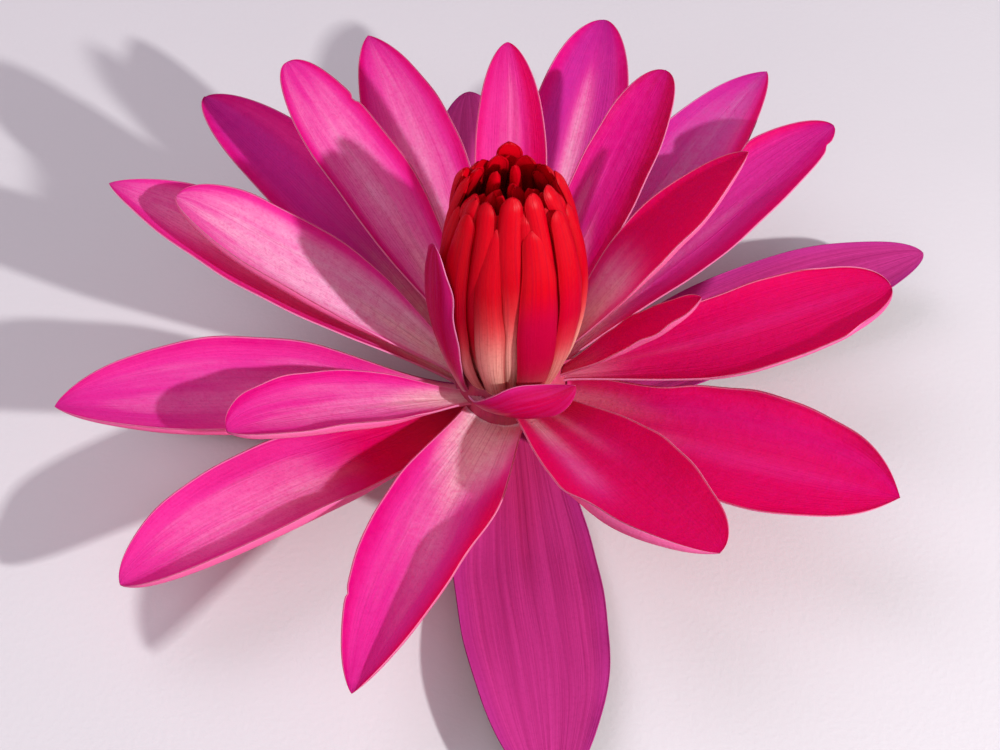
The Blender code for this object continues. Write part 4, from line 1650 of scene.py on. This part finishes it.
@dataclass
class StamenUrn:
    """Three rings of strap-shaped stamens that close over the ovary, and the dark ones inside them."""

    outer: Tier = Tier(9.3 * MM, 20.5 * MM, 0.7 * MM, foot=0.72, widest=0.46, cup=(24, 24, 32), finger=0.42)
    middle: Tier = Tier(8.2 * MM, 21.3 * MM, 0.7 * MM, foot=0.72, widest=0.46, cup=(20, 24, 32), finger=0.66)
    inner: Tier = Tier(7.1 * MM, 22.0 * MM, 0.7 * MM, foot=0.90, widest=0.46, cup=(16, 24, 32), finger=0.95)
    cells: tuple[int, int] = (56, 14)

    def rings(self) -> list[StamenRing]:
        """The three rings, from the outside in."""
        pressed = Odd(0.93, 1.0, 0.8, upright=3)
        return [
            StamenRing(
                "outer_stamen", self.outer, -74, 43 * MM, 7.4 * MM, 114, flush=(0.1, 0.7), swell=0.7,
                # stamen 1's warm foot takes the darkened pink: partly painted shadow on its lower half
                odd={1: Odd(0.98, 1.14, 0.85, 0.9, turn=7), 2: Odd(1.03, 0.95, 0.5, 0.4, turn=2),
                     10: Odd(1.02, 0.95, 0.5, 0.3), 11: Odd(0.98, 0.80, 0.0, turn=-1)},
            ),
            StamenRing(
                "middle_stamen", self.middle, -90, 47 * MM, 5.4 * MM, 117, flush=(0.5, 0.9), swell=1.5,
                odd={1: Odd(1.0, 1.0, 0.1), 5: pressed, 6: pressed, 7: replace(pressed, length=0.92),
                     11: Odd(0.97, 0.9, 0.8, 0.2)},
            ),
            StamenRing(
                "inner_stamen", self.inner, -74, 44 * MM, 3.6 * MM, 114, flush=(0.8, 1.0), swell=2.2,
                odd={4: Odd(0.94, 1.0, 0.9, upright=4), 5: Odd(0.91, 1.1, 0.9, upright=6, turn=-4),
                     6: Odd(0.97, 1.3, 0.9, upright=11, turn=2), 7: Odd(0.93, 1.2, 0.9, upright=8, turn=4),
                     8: Odd(0.99, 1.2, 0.9, upright=4)},
            ),
        ]

    def build(self) -> None:
        """Builds and fixes every stamen."""
        for ring in self.rings():
            for blade in ring.blades():
                made = BladeMesh(blade, self.cells, STAMEN, lens=0.7, tip_swell=ring.swell).build()
                settle(made, "stamen", blade.name)
        fingers = FingerRing()
        for name, count, length, bulge, lean, turn in (
            ("dark_stamens_outer", 9, 41.0 * MM, 4.2 * MM, 1.2 * MM, 0.05),
            ("dark_stamens_middle", 6, 40.5 * MM, 3.0 * MM, 3.3 * MM, 0.40),
            ("dark_stamens_inner", 3, 39.5 * MM, 1.6 * MM, 4.8 * MM, 0.75),
        ):
            made = fingers.bake(
                name, STAMEN, Count=count, Ring_Radius=6.3 * MM, Ring_Height=21.0 * MM, Length=length,
                Bulge=bulge, Lean=lean, Width=2.7 * MM, Thickness=2.3 * MM, Taper=0.05, Unevenness=0.05,
                Turn=turn, Seed=count,
            )
            settle(made, "stamen")


@dataclass
class Ovary:
    """The barrel-shaped body that bears the blades, with a dished, rayed stigma on top."""

    rays: int = 16
    steps: int = 128
    profile: tuple[Span, ...] = (  # radius and height in millimetres, from the top pole to the bottom pole
        (0.0, 21.6), (0.5, 21.5), (0.96, 21.12), (1.2, 20.6), (1.5, 20.45), (2.4, 20.55), (3.6, 20.85),
        (4.8, 21.4), (5.6, 22.0), (6.0, 22.2), (6.4, 22.1), (6.6, 21.9), (7.5, 21.2), (8.5, 20.4),
        (9.4, 19.6), (9.75, 18.8), (9.9, 18.0), (10.3, 17.0), (10.5, 16.0), (10.5, 14.2), (10.5, 12.5),
        (10.2, 11.2), (9.6, 10.0), (8.4, 8.9), (7.0, 8.0), (6.0, 7.2), (5.2, 6.5), (2.5, 6.5), (0.0, 6.5),
    )
    lobe: float = 0.22 * MM  # how far the stigma's lobes swell
    lobe_rows: tuple[int, int] = (5, 11)
    rib: float = 0.10 * MM  # how far the barrel's ribs swell
    rib_rows: tuple[int, int] = (12, 24)

    def swell(self, angle: np.ndarray, row: np.ndarray) -> np.ndarray:
        """Lobes at the stigma's rim and faint ribs down the barrel."""
        height = self.lobe * between(row, self.lobe_rows) + self.rib * between(row, self.rib_rows)
        return height * np.cos(self.rays * angle)

    def build(self) -> None:
        """Builds and fixes the ovary and its hooks."""
        radii, heights = (np.array(values) * MM for values in zip(*self.profile))
        corners, faces = lathe(radii, heights, self.steps, self.swell)
        settle(new_mesh("ovary_finished", corners, faces, OVARY.material()), "ovary", "ovary")
        hooks = FingerRing().bake(
            "stigma_hooks", STAMEN, Count=self.rays, Ring_Radius=5.9 * MM, Ring_Height=21.8 * MM,
            Length=6.5 * MM, Bulge=0.4 * MM, Lean=2.6 * MM, Width=1.3 * MM, Thickness=0.9 * MM, Taper=0.4,
            Unevenness=0.05, Turn=0.1, Seed=2,
        )
        settle(hooks, "ovary")


@dataclass
class Stalk:
    """The short stub of stalk that the flower was picked with, its cut end down."""

    radius: float = 5.0 * MM
    height: float = 6.2 * MM
    bevel: float = 0.4 * MM
    ridges: int = 14
    ridge_depth: float = 0.12 * MM
    side_rows: int = 9
    steps: int = 112

    def swell(self, angle: np.ndarray, row: np.ndarray) -> np.ndarray:
        """Shallow furrows between ridges, down the side."""
        furrow = -self.ridge_depth * (0.5 + 0.5 * np.cos(self.ridges * angle))
        return furrow * between(row, (2, self.side_rows + 2))

    def build(self) -> None:
        """Builds and fixes the stalk."""
        middle, end = self.radius * 0.6, self.radius - self.bevel
        side = np.linspace(self.height - self.bevel, self.bevel, self.side_rows)
        straight, foot = [self.radius] * self.side_rows, self.radius - 0.5 * self.bevel
        radii = np.array([0, middle, end, *straight, foot, end, middle, 0])
        heights = np.array([*[self.height] * 3, *side, 0.12 * self.bevel, 0.0, 0.0, 0.0])
        corners, faces = lathe(radii, heights, self.steps, self.swell)
        settle(new_mesh("stalk_finished", corners, faces, STALK.material()), "stalk", "stalk")


def stand_off(
    made: bpy.types.Object, target: Vector, azimuth: float, elevation: float, distance: float
) -> None:
    """Stands a lamp or a camera off a target, facing it.

    Args:
        made: the lamp or camera.
        target: what it faces.
        azimuth: degrees from +X towards +Y.
        elevation: degrees above the horizon.
        distance: metres from the target.
    """
    turn, lift = math.radians(azimuth), math.radians(elevation)
    away = Vector((math.cos(turn) * math.cos(lift), math.sin(turn) * math.cos(lift), math.sin(lift)))
    made.location = target + away * distance
    made.rotation_mode = "QUATERNION"
    made.rotation_quaternion = away.to_track_quat("Z", "Y")


@dataclass(frozen=True)
class Lamp:
    """A square soft box that faces the flower."""

    name: str
    azimuth: float  # degrees from +X towards +Y
    elevation: float  # degrees above the horizon
    distance: float
    side: float
    power: float  # watts
    colour: tuple[float, float, float]
    aim_height: float = 25 * MM  # where on the flower's axis it points

    def build(self) -> None:
        """Hangs the lamp."""
        data = bpy.data.lights.new(self.name, "AREA")
        data.shape, data.size, data.energy, data.color = "SQUARE", self.side, self.power, self.colour
        centre = Vector((float(AXIS[0]), float(AXIS[1]), self.aim_height))
        stand_off(in_scene(self.name, data), centre, self.azimuth, self.elevation, self.distance)


@dataclass
class Studio:
    """A pale table top, soft lamps and the camera."""

    floor_side: float = 3.0
    camera_azimuth: float = -90.0  # degrees from +X towards +Y
    camera_elevation: float = 47.0  # degrees above the horizon
    camera_distance: float = 330 * MM
    focal_length: float = 61.8  # millimetres
    sensor_width: float = 36.0  # millimetres
    nearest: float = 10 * MM  # what is nearer than this the camera doesn't see
    aim: tuple[float, float, float] = (-4.6 * MM, -2.4 * MM, 16 * MM)
    surround: Colour = (0.98, 0.85, 1.0, 1.0)
    surround_strength: float = 0.33
    lamps: tuple[Lamp, ...] = (
        Lamp("key", -38.5, 28.5, distance=0.9, side=0.03, power=10.3, colour=(1.0, 0.97, 1.0)),
        Lamp("fill", 150, 60, distance=1.1, side=0.8, power=4.4, colour=(0.96, 0.84, 1.0)),
        Lamp("front", -112, 42, distance=1.1, side=0.8, power=3.0, colour=(1.0, 0.97, 1.0)),
    )

    def floor(self) -> None:
        """The table top, just under the flower."""
        half, level = self.floor_side / 2, CAD_BOX[0][2]
        corners = np.array([(x * half, y * half, level) for x, y in ((-1, -1), (1, -1), (1, 1), (-1, 1))])
        made = new_mesh("table_top", corners, [(0, 1, 2, 3)], FLOOR.material())

    def sky(self) -> None:
        """An even pale surround."""
        world = bpy.data.worlds.new("studio_surround")
        world.use_nodes = True
        shade = world.node_tree.nodes["Background"]
        shade.inputs["Color"].default_value = self.surround
        shade.inputs["Strength"].default_value = self.surround_strength
        bpy.context.scene.world = world

    def camera(self) -> None:
        """The camera, in front of the flower and looking down at it."""
        data = bpy.data.cameras.new("camera")
        data.lens, data.sensor_width, data.clip_start = self.focal_length, self.sensor_width, self.nearest
        made = in_scene("camera", data)
        stand_off(made, Vector(self.aim), self.camera_azimuth, self.camera_elevation, self.camera_distance)
        bpy.context.scene.camera = made

    def build(self) -> None:
        """Sets up the studio."""
        bpy.context.scene.view_settings.view_transform = "Standard"
        self.camera()
        self.floor()
        self.sky()
        for lamp in self.lamps:
            lamp.build()


def main() -> None:
    """Builds the studio and the flower."""
    logging.basicConfig(level=logging.INFO, format="%(name)s: %(message)s")
    for part in (Studio(), Stalk(), Ovary(), Sepals(), Petals(), StamenUrn()):
        LOG.info("building the %s", type(part).__name__)
        part.build()


if __name__ == "__main__":
    main()
